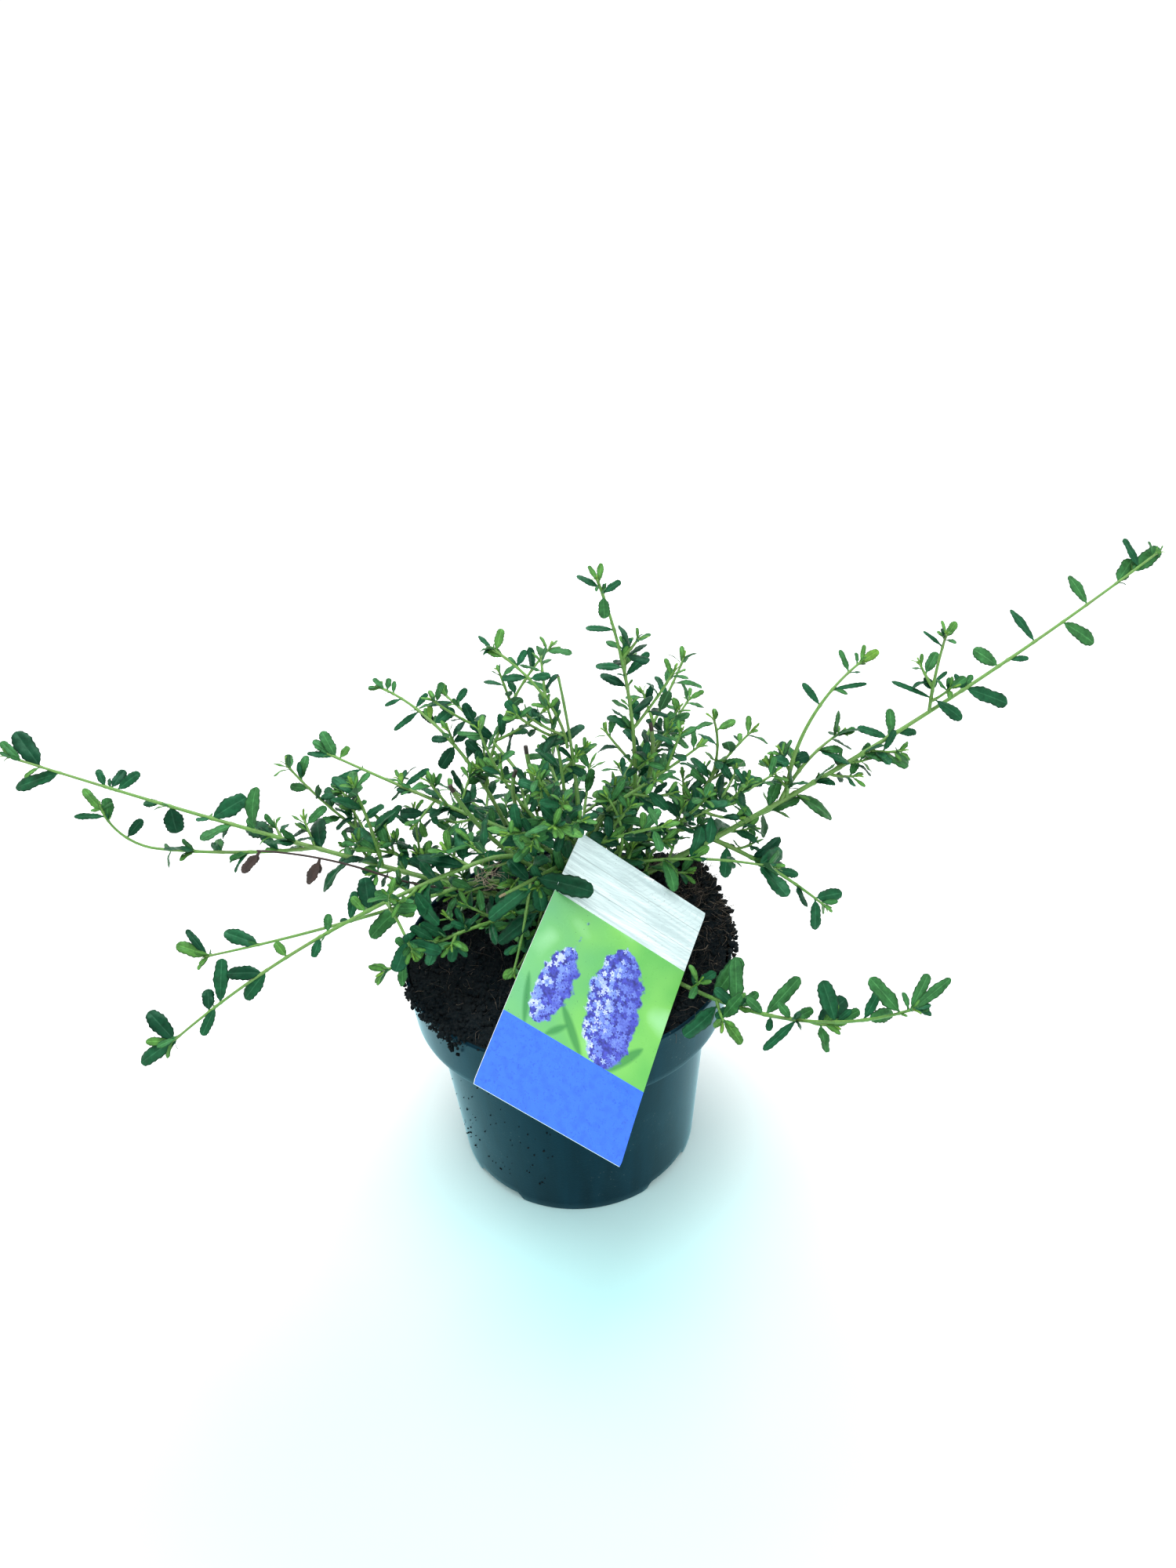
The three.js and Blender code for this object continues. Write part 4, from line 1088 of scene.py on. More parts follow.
def bark_material(name, colour, green):
    graph = Graph(name, Roughness=0.75)
    fissures = graph.noise(420.0, 6.0, roughness=0.65)
    patches = graph.noise(80.0, 3.0)
    tone = graph.shades(fissures, 0.35, 0.7, colour, 0.5, 1.5)
    tone = graph.mix(graph.ramp(patches, 0.45, 0.7, 0.0, 0.6), tone, opaque(green))
    graph.set("Base Color", tone)
    graph.set("Roughness", graph.ramp(fissures, 0.3, 0.7, 0.6, 0.9))
    graph.bump(fissures, 0.6, 0.0008)
    return graph.material


# ------------------------------------------------------------------ operators

class LILAC_OT_pot(bpy.types.Operator):
    """Build the nursery pot"""

    bl_idname = "lilac.pot"
    bl_label = "Pot"

    # The turns of the drain notches at the foot.
    NOTCHES = [math.radians(47 + 90 * index) for index in range(4)]

    def execute(self, context):
        pot = context.scene.lilac.pot
        rim, band, shoulder, base = (
            value / MM for value in (pot.rim_radius, pot.band_radius, pot.shoulder_radius, pot.base_radius)
        )
        height, wall = pot.height / MM, pot.wall / MM
        band_foot = height - pot.band_height / MM
        lip = wall * 0.5
        profile = [
            (0, 4.0), (base - 5.5, 4.0), (base - 4.6, 3.4), (base - 4.2, 0.4), (base - 3.8, 0.0),
            (base - 1.0, 0.0), (base - 0.3, 0.3), (base + 0.1, 1.2), (base + 0.5, 6.0),
        ]
        profile += [
            (lerp(base, shoulder, share), band_foot * share) for share in np.linspace(0.1, 0.93, 12)
        ]
        profile += [
            (shoulder - 0.2, band_foot - 2.4), (shoulder, band_foot - 1.2), (shoulder + 1.2, band_foot - 0.5),
            (band - 1.2, band_foot - 0.2), (band - 0.3, band_foot), (band, band_foot + 0.8),
        ]
        profile += [
            (lerp(band, rim, share), lerp(band_foot, height, share)) for share in np.linspace(0.12, 0.9, 7)
        ]
        profile += [
            (rim - 0.05, height - 1.2), (rim, height - 0.5), (rim - 0.25, height - 0.1),
            (rim - lip, height), (rim - wall + 0.15, height - 0.15), (rim - wall, height - 0.7),
            (band - wall, band_foot + wall + 1.5), (band - wall - 1.0, band_foot + wall),
            (shoulder - wall, band_foot + wall - 1.0), (base - wall, 8.0), (base - wall - 2, 6.6), (0, 6.5),
        ]
        sides = 240
        turns = full_turn(sides)
        radius, level = (np.repeat(part[:, None], sides, 1) for part in np.array(profile, float).T)
        apart = [np.abs((turns - at + math.pi) % (2 * math.pi) - math.pi) for at in self.NOTCHES]
        open_share = np.clip((math.radians(15.0) - np.min(apart, 0)) / math.radians(3.2), 0, 1)
        foot = (level < 3.9) & (radius > base - 5.0)
        level = np.where(foot, np.maximum(level, 4.6 * open_share + level * 0.1), level)
        wobble = 0.25 * np.sin(2 * turns + 0.6) * (level / height) ** 2
        radius = radius + np.where(radius > 1, wobble, 0)
        points = np.stack([radius * np.cos(turns), radius * np.sin(turns), level], -1)
        batch = Batch()
        batch.add(points, grid_quads(len(profile), sides, closed=True)[:, ::-1])
        piece = batch.piece("nursery_pot", "pot", [self.plastic(pot)], sharp=38)
        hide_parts("pot")
        return {"FINISHED"}

    def plastic(self, pot):
        graph = Graph("pot_plastic", Specular_IOR_Level=0.0)
        drawn = graph.noise(1.0, 3.0, graph.stretched((90.0, 90.0, 9.0)))
        dust = graph.noise(38.0, 5.0, roughness=0.62)
        specks = graph.cells(420.0)
        speckled = (specks < 0.13) * graph.ramp(dust, 0.52, 0.62)
        tone = graph.shades(drawn, 0.35, 0.7, pot.colour, 0.75, 1.35)
        tone = graph.mix(graph.ramp(dust, 0.55, 0.80, 0.0, 0.08), tone, (0.04, 0.11, 0.14, 1.0))
        tone = graph.mix(speckled * 0.30, tone, (0.16, 0.17, 0.15, 1.0))
        graph.set("Base Color", tone)
        graph.bump(graph.noise(900.0, 3.0) * 0.6 + drawn * 0.8, 0.12, 0.0005)
        graph.glaze(opaque(pot.gloss), graph.ramp(dust, 0.35, 0.75, 0.32, 0.48), 1.45, 0.9)
        return graph.material


def soil_height(x, y):
    """The source's soil surface."""
    from_foot = np.hypot(x - SOIL_FOOT[0], y - SOIL_FOOT[1])
    from_mound = np.hypot(x - MOUND[0], y - MOUND[1])
    rise = (FOOT_LEVEL - SOIL_LEVEL) * np.exp(-0.5 * (from_foot / FOOT_SPREAD) ** 2)
    mound = MOUND_HEIGHT * np.exp(-0.5 * (from_mound / MOUND_SPREAD) ** 2)
    lumps = 1.3 * (np.sin(x / 5 + 1) * np.cos(y / 6) + np.sin((x + y) / 9))
    level = SOIL_LEVEL + rise + mound + lumps
    settled = np.clip((from_foot - FOOT_RADIUS) / FOOT_RADIUS, 0, 1)
    settled = settled * settled * (3 - 2 * settled)
    close = lerp(FOOT_LEVEL, np.minimum(level, FOOT_LEVEL), settled)
    return np.where(from_foot > 2.5 * FOOT_RADIUS, level, close)


def rough_height(x, y):
    """The soil surface with the crumbly relief that shows."""
    level = float(soil_height(x, y))
    edge = max(0.0, 1 - math.hypot(x, y) / 83.0)
    proud = math.exp(-0.5 * (math.hypot(x - MOUND[0], y - MOUND[1]) / MOUND_SPREAD) ** 2)
    coarse = noise.noise(Vector((x / 6.5, y / 6.5, 3.1)))
    medium = noise.noise(Vector((x / 2.6, y / 2.6, 7.7)))
    fine = noise.noise(Vector((x / 1.1, y / 1.1, 1.3)))
    relief = (1.6 + 4.0 * proud) * coarse + (1.2 + 3.0 * proud) * medium + (0.6 + 0.8 * proud) * fine
    return level + relief * min(1.0, 0.35 + 4 * edge)


def on_soil(radius, turn, above=0.0, edge=math.inf):
    """A point above the rough soil; past the edge it stays as high as the soil is there."""
    x, y, _ = around(min(radius, edge), turn)
    return around(radius, turn, rough_height(x, y) + above)


def about(heading, spread, random):
    """A turn, in radians, that scatters about a heading in degrees."""
    return math.radians(heading + spread * random.standard_normal())


def lump_shape():
    """Points and faces of an icosahedron."""
    rise, ring = 1 / math.sqrt(5), 2 / math.sqrt(5)
    points = [(0, 0, 1.0)]
    for level, shift in ((rise, 0.0), (-rise, 0.5)):
        points += [around(ring, 2 * math.pi * (index + shift) / 5, level) for index in range(5)]
    points.append((0, 0, -1.0))
    faces = []
    for index in range(5):
        following = (index + 1) % 5
        upper, next_upper, lower, next_lower = 1 + index, 1 + following, 6 + index, 6 + following
        faces += [
            (0, upper, next_upper), (upper, lower, next_upper),
            (next_upper, lower, next_lower), (11, next_lower, lower),
        ]
    return np.array(points), np.array(faces)


LUMP_POINTS, LUMP_FACES = lump_shape()


def add_lump(batch, centre, size, random):
    """A crumb: an icosahedron stretched and dented at random."""
    stretch = 0.6 + 0.8 * random.random(3)
    jag = 1 + 0.9 * (random.random((len(LUMP_POINTS), 1)) - 0.5)
    batch.add(LUMP_POINTS * stretch * jag * size / 2 + centre, [], LUMP_FACES)


def add_fibre(batch, start, direction, length, girth, random, finish, rings=6):
    """A thin curved three-sided thread, closed at both ends."""
    direction = unit(direction)
    bend = unit(np.cross(direction, random.standard_normal(3)))
    other = np.cross(direction, bend)
    sweep = (random.random() - 0.5) * 2.4
    turns = full_turn(3)
    ring = np.outer(np.cos(turns), bend) + np.outer(np.sin(turns), other)
    points = []
    for share in np.linspace(0, 1, rings):
        point = (
            start + direction * length * share * (1 - 0.2 * share) + bend * length * sweep * 0.35 * share**2
            + other * length * 0.12 * math.sin(5 * share + sweep)
        )
        points.append(point + girth / 2 * (1 - 0.7 * share) * ring)
    last = (rings - 1) * 3
    ends = [(0, 2, 1), (last, last + 1, last + 2)]
    quads = grid_quads(rings, 3, closed=True)[:, ::-1]
    batch.add(np.concatenate(points), quads, ends, finish, finish)


class LILAC_OT_soil(bpy.types.Operator):
    """Build the root ball with its crumbs and fibres"""

    bl_idname = "lilac.soil"
    bl_label = "Soil"

    def execute(self, context):
        soil = context.scene.lilac.soil
        random = np.random.default_rng(SOIL_SEED)
        ball = self.root_ball(soil)
        crumbs = self.crumbs(soil, random)
        fibres = self.fibres(soil, random)
        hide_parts("root_ball")
        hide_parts("root_ball")
        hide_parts("root_ball")
        return {"FINISHED"}

    def root_ball(self, soil):
        """The rough top of the peat, and its sides down inside the pot."""
        sides, rings, edge = 300, 90, 82.6
        wall = [(81.0, 112.0), (80.5, 103.0), (71.4, 101.5), (63.0, 8.0)]
        turns = full_turn(sides)
        points = [on_soil(0.0, 0.0)]
        points += [on_soil(edge * ring / rings, turn) for ring in range(1, rings + 1) for turn in turns]
        points += [around(radius, turn, level) for radius, level in wall for turn in turns]
        points.append(around(0.0, 0.0, wall[-1][1]))
        rows, last = rings + len(wall), len(points) - 1
        quads = grid_quads(rows, sides, closed=True) + 1
        batch = Batch()
        batch.add(points, quads, [*fan(0, 1, sides), *fan(last, last - sides, sides, backwards=True)])
        return batch.piece("peat", "soil", [self.peat(soil)])

    def crumbs(self, soil, random):
        """Crumbs all over the peat, over the rim and, a few, on the pot's side."""
        batch = Batch()
        for _ in range(soil.crumbs):
            turn, radius = 2 * math.pi * random.random(), CRUMB_EDGE * math.sqrt(random.random())
            size = 0.7 + 3.2 * random.random() ** 4
            if math.dist(around(radius, turn)[:2], MOUND) < 34:
                size *= 1.6
            add_lump(batch, on_soil(radius, turn, size * 0.12), size, random)
        self.crust(batch, random)
        for row in SPILLS:
            self.spill(batch, random, *row)
        for _ in range(80):
            turn = math.radians(200 + 60 * random.random())
            level = 20 + 75 * random.random() ** 1.6
            radius = lerp(65.0, 73.5, level / 100) + 0.15
            add_lump(batch, around(radius, turn, level), 0.4 + 0.7 * random.random(), random)
        return batch.piece("peat_crumbs", "soil", [self.peat(soil)])

    def crust(self, batch, random):
        """Clods that stand out from the proud side of the ball and over the rim beside it."""
        for _ in range(700):
            turn, radius = about(24, 17, random), 70 + 14 * random.random()
            centre = on_soil(radius, turn, 1.5 * random.random() - 0.5, CRUMB_EDGE)
            add_lump(batch, centre, 1.0 + 3.6 * random.random() ** 3, random)
        for _ in range(240):
            turn, radius = about(4, 11, random), 82.5 + 5.0 * random.random() ** 1.3
            centre = around(radius, turn, RIM_LEVEL + 0.5 + 7 * random.random())
            add_lump(batch, centre, 0.9 + 3.2 * random.random() ** 3, random)

    def spill(self, batch, random, heading, spread, count, hang):
        """Crumbs that lie over the rim and hang down outside it."""
        for _ in range(count):
            turn = about(heading, spread, random)
            fall = random.random() ** 1.5
            size = 0.6 + 2.6 * random.random() ** 3
            radius = 83.2 + 2.6 * math.sin(math.pi * min(1, fall * 1.6) / 2) + 1.2 * random.random()
            level = RIM_LEVEL + 0.8 + 1.6 * random.random() - hang * fall
            add_lump(batch, around(radius, turn, level), size, random)

    def fibres(self, soil, random):
        """Short fibres all over the peat, a tangle on the proud side and a few woolly strands."""
        batch = Batch()
        for index in range(soil.fibres):
            turn, radius = 2 * math.pi * random.random(), 80.0 * math.sqrt(random.random())
            tangled = index % 5 > 1
            if tangled:
                turn, radius = about(20, 24, random), 54 + 29 * random.random()
            direction = random.standard_normal(3) * np.array([1, 1, 0.3]) + Z * 0.2
            if tangled:
                direction = direction * 0.8 + around(0.6, turn) + Z * 0.25 * random.random()
            length = 3 + 13 * random.random() ** 2
            girth = 0.16 + 0.50 * random.random() ** 4
            finish = int(3.2 * random.random() ** 0.8) % 4
            add_fibre(batch, on_soil(radius, turn, -0.2), direction, length, girth, random, finish)
        for _ in range(130):
            turn = about(8, 17, random)
            start = around(84.5, turn, RIM_LEVEL + 2 - 10 * random.random())
            direction = around(0.4, turn, -random.random()) + random.standard_normal(3) * 0.5
            length, finish = 3 + 8 * random.random(), int(random.random() < 0.5)
            add_fibre(batch, start, direction, length, 0.24, random, finish)
        wool = len(FIBRE_SHADES) - 1
        for _ in range(34):
            turn = about(4, 12, random)
            start = around(84, turn, RIM_LEVEL + 4 - 6 * random.random())
            direction = around(1, turn, 0.7 * random.standard_normal()) + random.standard_normal(3) * 0.6
            add_fibre(batch, start, direction, 8 + 9 * random.random(), 0.2, random, wool, rings=9)
        for _ in range(40):
            start = WOOL + random.standard_normal(3) * np.array([4.0, 2.5, 2.0])
            direction = random.standard_normal(3) + X
            add_fibre(batch, start, direction, 7 + 6 * random.random(), 0.22, random, wool)
        finishes = [self.fibre(f"fibre_{name}", soil.fibre, factor) for name, factor in FIBRE_SHADES]
        return batch.piece("peat_fibres", "soil", finishes)

    def peat(self, soil):
        graph = Graph("peat", Roughness=0.95, Specular_IOR_Level=0.08)
        grain = graph.noise(700.0, 6.0, roughness=0.7)
        patches = graph.noise(60.0, 3.0)
        tone = graph.mix(graph.ramp(grain, 0.42, 0.78), opaque(soil.peat), opaque(soil.dry))
        tone = graph.mix(graph.ramp(patches, 0.45, 0.75, 0.0, 0.30), tone, opaque(soil.dry, 0.8))
        graph.set("Base Color", tone)
        graph.set("Roughness", graph.ramp(grain, 0.3, 0.7, 0.8, 1.0))
        graph.bump(grain, 0.9, 0.0012)
        return graph.material

    def fibre(self, name, colour, factor):
        graph = Graph(name, Roughness=0.8)
        patches = graph.noise(300.0, 2.0)
        dark, light = opaque(colour, 0.5 * factor), opaque(colour, 1.4 * factor)
        graph.set("Base Color", graph.mix(patches, dark, light))
        return graph.material


class LILAC_OT_label(bpy.types.Operator):
    """Build the plastic plant label and its stake"""

    bl_idname = "lilac.label"
    bl_label = "Label"

    def execute(self, context):
        label = context.scene.lilac.label
        card = self.card(label)
        stake = self.stake(label)
        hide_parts("plant_label")
        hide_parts("plant_label")
        return {"FINISHED"}

    def card(self, label):
        """A bowed card with rounded corners, printed on its front."""
        width, length, thick = label.width / MM, label.length / MM, label.thickness / MM
        rows, columns, corner = 61, 37, 0.4
        points, places = [], []
        for side in (1, -1):
            for v in np.linspace(-1, 1, rows):
                reach = width / 2
                from_end = length / 2 * (1 - abs(v))
                if from_end < corner:
                    reach -= corner - math.sqrt(corner**2 - (corner - from_end) ** 2)
                for u in np.linspace(-1, 1, columns):
                    lift = label.bow / MM * v * v + side * thick / 2
                    point = LABEL_CENTRE + LABEL_ACROSS * u * reach + LABEL_DOWN * v * length / 2
                    points.append(point + LABEL_FACE * lift)
                    places.append((u / 2 + 0.5, v / 2 + 0.5))
        count = rows * columns
        front = grid_quads(rows, columns)
        back = front[:, ::-1] + count
        rim = np.concatenate([
            np.arange(columns),
            np.arange(1, rows) * columns + columns - 1,
            (rows - 1) * columns + np.arange(columns - 2, -1, -1),
            np.arange(rows - 2, 0, -1) * columns,
        ])
        following = np.roll(rim, -1)
        edge = np.stack([rim, following, following + count, rim + count], -1)
        quads = np.concatenate([front, back, edge])
        batch = Batch()
        batch.add(points, quads, quad_finish=np.arange(len(quads)) >= len(front))
        piece = batch.piece("label_card", "label", [self.print(label), self.core()], sharp=40)
        layer = piece.data.uv_layers.new(name="card")
        corners = np.zeros(len(piece.data.loops), int)
        piece.data.loops.foreach_get("vertex_index", corners)
        layer.data.foreach_set("uv", np.array(places)[corners].astype(np.float32).ravel())
        return piece

    def stake(self, label):
        """The strip that folds back from the card's top edge and runs down into the soil."""
        fold = LABEL_CENTRE + LABEL_DOWN * (1.5 - label.length / MM / 2) + LABEL_FACE * label.bow / MM
        down = unit(STAKE_FOOT - fold)
        run = STAKE_FOOT - fold + down * STAKE_DEPTH
        face = unit(np.cross(LABEL_ACROSS, down))
        across = np.cross(down, face)
        section = ((-1, 0.35), (-0.5, 0.45), (0.5, 0.45), (1, 0.35), (1, -0.35), (-1, -0.35))
        rows, sides = 15, len(section)
        points = []
        for share in np.linspace(0, 1, rows):
            half = STAKE_WIDTH / 2 * (1 if share < 0.85 else lerp(1, 0.3, (share - 0.85) / 0.15))
            points += [fold + run * share + across * u * half + face * lift for u, lift in section]
        last = (rows - 1) * sides
        ends = [(0, 1, 2), (0, 2, 3), (0, 3, 4), (0, 4, 5)]
        far = [(last + c, last + b, last + a) for a, b, c in ends]
        batch = Batch()
        batch.add(points, grid_quads(rows, sides, closed=True), ends + far)
        return batch.piece("label_stake", "label", [self.core()], sharp=40)

    def print(self, label):
        graph = Graph("label_print", Roughness=0.33, Specular_IOR_Level=0.4)
        card = graph.node("ShaderNodeUVMap", {"uv_map": "card"}).outputs[0]
        u, v = graph.parts(card)
        slimness = label.width / label.length
        square = graph.stretched((slimness, 1.0, 1.0), card)
        across = u * slimness
        wood = self.boards(graph, card, v)
        picture = self.picture(graph, label, square, across, v)
        band = self.band(graph, label, square)
        tone = graph.mix(v > WOOD_SHARE, wood, picture)
        tone = graph.mix(v > PICTURE_SHARE, tone, band)
        specks = (graph.cells(70.0, square) < 0.10) * graph.ramp(graph.noise(9.0, 2.0, square), 0.48, 0.56)
        tone = graph.mix(specks * 0.7, tone, (0.03, 0.04, 0.06, 1))
        graph.set("Base Color", tone)
        graph.set("Roughness", graph.ramp(graph.noise(9.0, 5.0, square), 0.4, 0.7, 0.26, 0.42))
        graph.bump(graph.noise(60.0, 3.0, square), 0.04, 0.0004)
        return graph.material

    def boards(self, graph, card, v):
        """Whitewashed boards with their grain across the card."""
        grain = graph.noise(1.0, 6.0, graph.stretched((2.0, 52.0, 1.0), card), 0.62)
        rings = {"wave_type": "RINGS", "rings_direction": "SPHERICAL"}
        values = {"Scale": 8.0, "Distortion": 6.0, "Detail": 2.0}
        values["Vector"] = graph.stretched((0.9, 4.4, 1.0), card)
        figure = graph.wire("ShaderNodeTexWave", rings, values, 1)
        wood = graph.mix(graph.ramp(grain, 0.40, 0.64), (0.47, 0.60, 0.61, 1), (0.78, 0.93, 0.93, 1))
        wood = graph.mix(graph.ramp(figure, 0.0, 0.20, 0.40, 0.0), wood, (0.40, 0.52, 0.54, 1))
        wood = graph.mix(graph.ramp(v, 0.20, 0.0, 0.0, 0.35), wood, (0.40, 0.55, 0.57, 1))
        sway = (graph.noise(5.0, 2.0, card) - 0.5) * 0.006
        for joint in BOARD_JOINTS:
            gap = graph.ramp((v - joint + sway).of("ABSOLUTE"), 0.0024, 0.0008)
            wood = graph.mix(gap * 0.55, wood, (0.20, 0.27, 0.28, 1))
        return wood

    def picture(self, graph, label, square, across, v):
        """Two spikes of blossom and a few leaves before a soft green garden."""
        soft = graph.noise(3.4, 2.0, square)
        field = graph.mix(graph.ramp(soft, 0.36, 0.66), opaque(label.field), (0.21, 0.57, 0.12, 1))
        field = graph.mix(graph.ramp(across * 1.6 + soft, 1.0, 0.5, 0.0, 0.8), field, (0.13, 0.42, 0.20, 1))
        field = graph.mix(graph.ramp(soft, 0.56, 0.68, 0.0, 0.55), field, (0.36, 0.71, 0.46, 1))
        for x, y, tip_x, tip_y, reach in LEAF_SPRAYS:
            mask, _ = self.spindle(graph, across, v, (x, y), (tip_x, tip_y), reach, 0.0, 0.012)
            field = graph.mix(mask * 0.75, field, (0.02, 0.20, 0.05, 1))
        edge = graph.noise(26.0, 3.0, square) - 0.5
        tone = field
        for base_x, base_y, tip_x, tip_y, reach in SPIKES:
            ends = ((base_x, base_y), (tip_x, tip_y))
            mask, depth = self.spindle(graph, across, v, *ends, reach, edge * 0.07, 0.010)
            lit = graph.ramp(depth, 0.0, 0.75)
            tone = graph.mix(mask, tone, self.florets(graph, label, square, lit))
        return tone

    def spindle(self, graph, across, v, base, tip, reach, edge, softness):
        """Mask of a pointed oval from its base to its tip, and the share across it."""
        run = (tip[0] - base[0], tip[1] - base[1])
        length = math.hypot(*run)
        run = (run[0] / length, run[1] / length)
        dx, dy = across - base[0], v - base[1]
        share = (dx * run[0] + dy * run[1]) / length
        off = dx * run[1] - dy * run[0]
        swell = (1.0 - share) * (share + 0.13) * 3.1
        half = swell.of("MAXIMUM", 0.0) ** 0.5 * reach
        mask = graph.ramp(half - off.of("ABSOLUTE") + edge, 0.0, softness)
        return mask, off / reach * 0.5 + 0.5

    def florets(self, graph, label, square, lit):
        """Small five-petalled flowers, lighter towards one side of the spike."""
        depth = graph.ramp(graph.noise(70.0, 4.0, square), 0.35, 0.65)
        tone = graph.mix(depth, opaque(label.blossom, 0.30), opaque(label.blossom, 0.85))
        for scale in (25.0, 33.0, 41.0):
            away = graph.cells(scale, square)
            cell = away.socket.node.outputs
            dx, dy = graph.parts(graph.vectors("SUBTRACT", square, cell["Position"]))
            chance, _ = graph.parts(cell["Color"], "ShaderNodeSeparateColor")
            turn = dy.of("ARCTAN2", dx) * 2.5 + chance * 6.0
            rim = turn.of("COSINE").of("ABSOLUTE") * 0.24 + 0.26
            petal = graph.ramp(rim - away, 0.0, 0.05)
            light = graph.ramp(chance * 0.5 + lit * 0.9, 0.30, 1.15)
            shade = graph.mix(light, opaque(label.blossom, 0.8), (0.23, 0.38, 0.92, 1))
            shade = graph.mix(graph.ramp(chance * 0.6 + lit, 1.10, 1.35), shade, (0.56, 0.68, 0.97, 1))
            shade = graph.mix(depth * 0.35, shade, opaque(label.blossom, 0.5))
            shade = graph.mix(graph.ramp(away, 0.13, 0.05), shade, (0.02, 0.012, 0.16, 1))
            tone = graph.mix(petal, tone, shade)
        return tone

    def band(self, graph, label, square):
        """The lower band, with darker blotches and drops."""
        shake = graph.node("ShaderNodeTexNoise", values={"Vector": square, "Scale": 22.0}).outputs["Color"]
        shaken = graph.vectors("ADD", graph.stretched((1.0, 0.7, 1.0), square), shake)
        drops = graph.ramp(graph.cells(9.0, shaken), 0.30, 0.20)
        blotches = graph.ramp(graph.noise(30.0, 2.0, square), 0.46, 0.66, 0.0, 0.6)
        tone = graph.mix(blotches, opaque(label.band), opaque(label.band, 0.74))
        return graph.mix(drops * 0.65, tone, opaque(label.band, 0.60))

    def core(self):
        graph = Graph("label_core", Roughness=0.4)
        haze = graph.noise(60.0, 3.0)
        graph.set("Base Color", graph.mix(haze, (0.78, 0.86, 0.86, 1), (0.92, 0.97, 0.97, 1)))
        return graph.material


class LILAC_OT_limbs(bpy.types.Operator):
    """Build the leader, its cut stubs and the boughs"""

    bl_idname = "lilac.limbs"
    bl_label = "Limbs"

    def execute(self, context):
        plant = context.scene.lilac.plant
        bark = bark_material("bark", plant.bark, opaque(plant.bough, 0.8))
        green = stem_material("bough_skin", plant.bough, opaque(plant.bark, 1.6))
        cut = stem_material("cut_end", (0.02, 0.012, 0.008), (0.05, 0.03, 0.02))
        pale = stem_material("cut_end_pale", (0.20, 0.16, 0.09), (0.30, 0.26, 0.16))
        leader = self.leader([bark, green, cut, pale])
        boughs = self.boughs(green)
        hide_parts("leader")
        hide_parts(*sorted(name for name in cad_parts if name.startswith("bough_")))
        return {"FINISHED"}

    def leader(self, finishes):
        """The leader, brown below and green above, and its cut stubs."""
        batch = Batch()

        def ridges(distance, turns):
            return np.array([
                1 + 0.14 * noise.noise(Vector(around(1.6, turn, distance / 7)))
                + 0.07 * noise.noise(Vector(around(5, turn, distance / 2)))
                for turn in turns
            ])

        def radius(distance):
            slimmer = 0.30 * min(1.0, distance / LEADER_SHOOT.length)
            return leader_radius(distance - LEADER["below"]) * (1 - slimmer)

        length = LEADER_SHOOT.length
        green_from = GREEN_FROM * length
        tube(batch, LEADER_SHOOT, LEADER["below"] - 2.5, green_from, 22, 1.2, radius, ridges)
        tube(batch, LEADER_SHOOT, green_from - 0.6, length, 22, 1.2, radius, ridges, 1, 2)
        for heading, foot, lifts, stretches, girth in STUBS:
            stub = Shoot(on_leader(foot), heading, lifts, stretches, girth, girth * 0.8)
            self.stub(batch, stub, 2)
        heading, foot, lifts, stretches, girth = FRONT_STUB
        self.stub(batch, shoot_from_leader(heading, foot, lifts, stretches, girth), 3)
        return batch.piece("leader_bark", "wood", finishes, sharp=60)

    def stub(self, batch, stub, end):
        """A cut shoot: its green stem, and the dry wood of its end."""
        def dry(distance):
            return stub.radius(distance) * 1.02

        tube(batch, stub, 0, stub.length - 3, 12, 1.6, self.collared(stub), None, 1)
        tube(batch, stub, stub.length - 4, stub.length, 12, 0.8, dry, None, end)

    def collared(self, shoot):
        """The radius of a shoot with a collar where it leaves the leader."""
        def radius(distance):
            inside = min(max(distance, 0.0), shoot.length)
            return shoot.radius(inside) * (1 + 0.5 * math.exp(-max(distance, 0) / 2.5))
        return radius

    def boughs(self, green):
        batch = Batch()

        def ripple(distance, turns):
            places = [Vector(around(1, turn, distance / 5)) * 1.7 for turn in turns]
            return np.array([1 + 0.07 * noise.noise(place) for place in places])

        for _, shoot, bough, _, _ in all_shoots():
            if bough:
                tube(batch, shoot, -3.0, bough, 12, 1.6, self.collared(shoot), ripple)
        return batch.piece("bough_stems", "stem", [green], sharp=60)


class LILAC_OT_leaves(bpy.types.Operator):
    """Grow the twigs and leaves of every mass"""

    bl_idname = "lilac.leaves"
    bl_label = "Leaves"

    def execute(self, context):
        plant = context.scene.lilac.plant
        foliage = grow_foliage(plant)
        masses = sorted(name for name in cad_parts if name.startswith("leaves_"))
        twig = stem_material("twig_skin", plant.twig, opaque(plant.bark, 2.2))
        twigs = foliage.twigs.piece("leafy_twigs", "stem", [twig])
        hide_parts(*masses)
        under = leaf_material("leaf_under", plant.under, 0.6, 0.12)
        under_rib = leaf_material("leaf_under_rib", opaque(plant.under, 2.3), 0.6, 0.10)
        for kind, roughness in zip(foliage.KINDS, (0.36, 0.38, 0.40, 0.42, 0.45)):
            colour = getattr(plant, kind)
            top = leaf_material(f"leaf_{kind}", colour, roughness)
            rib = leaf_material(f"leaf_rib_{kind}", [1.5 * part + 0.010 for part in colour], 0.5)
            # The margin strips take a darker copy of the leaf's colour: painted shade where the margins roll
            # under.
            shaded_margin = leaf_material(f"leaf_margin_{kind}", opaque(colour, 0.45), roughness)
            finishes = [top, under, rib, under_rib, shaded_margin]
            piece = foliage.kinds[kind].piece(f"{kind}_leaves", "leaf", finishes, sharp=70)
            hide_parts(*masses)
        return {"FINISHED"}


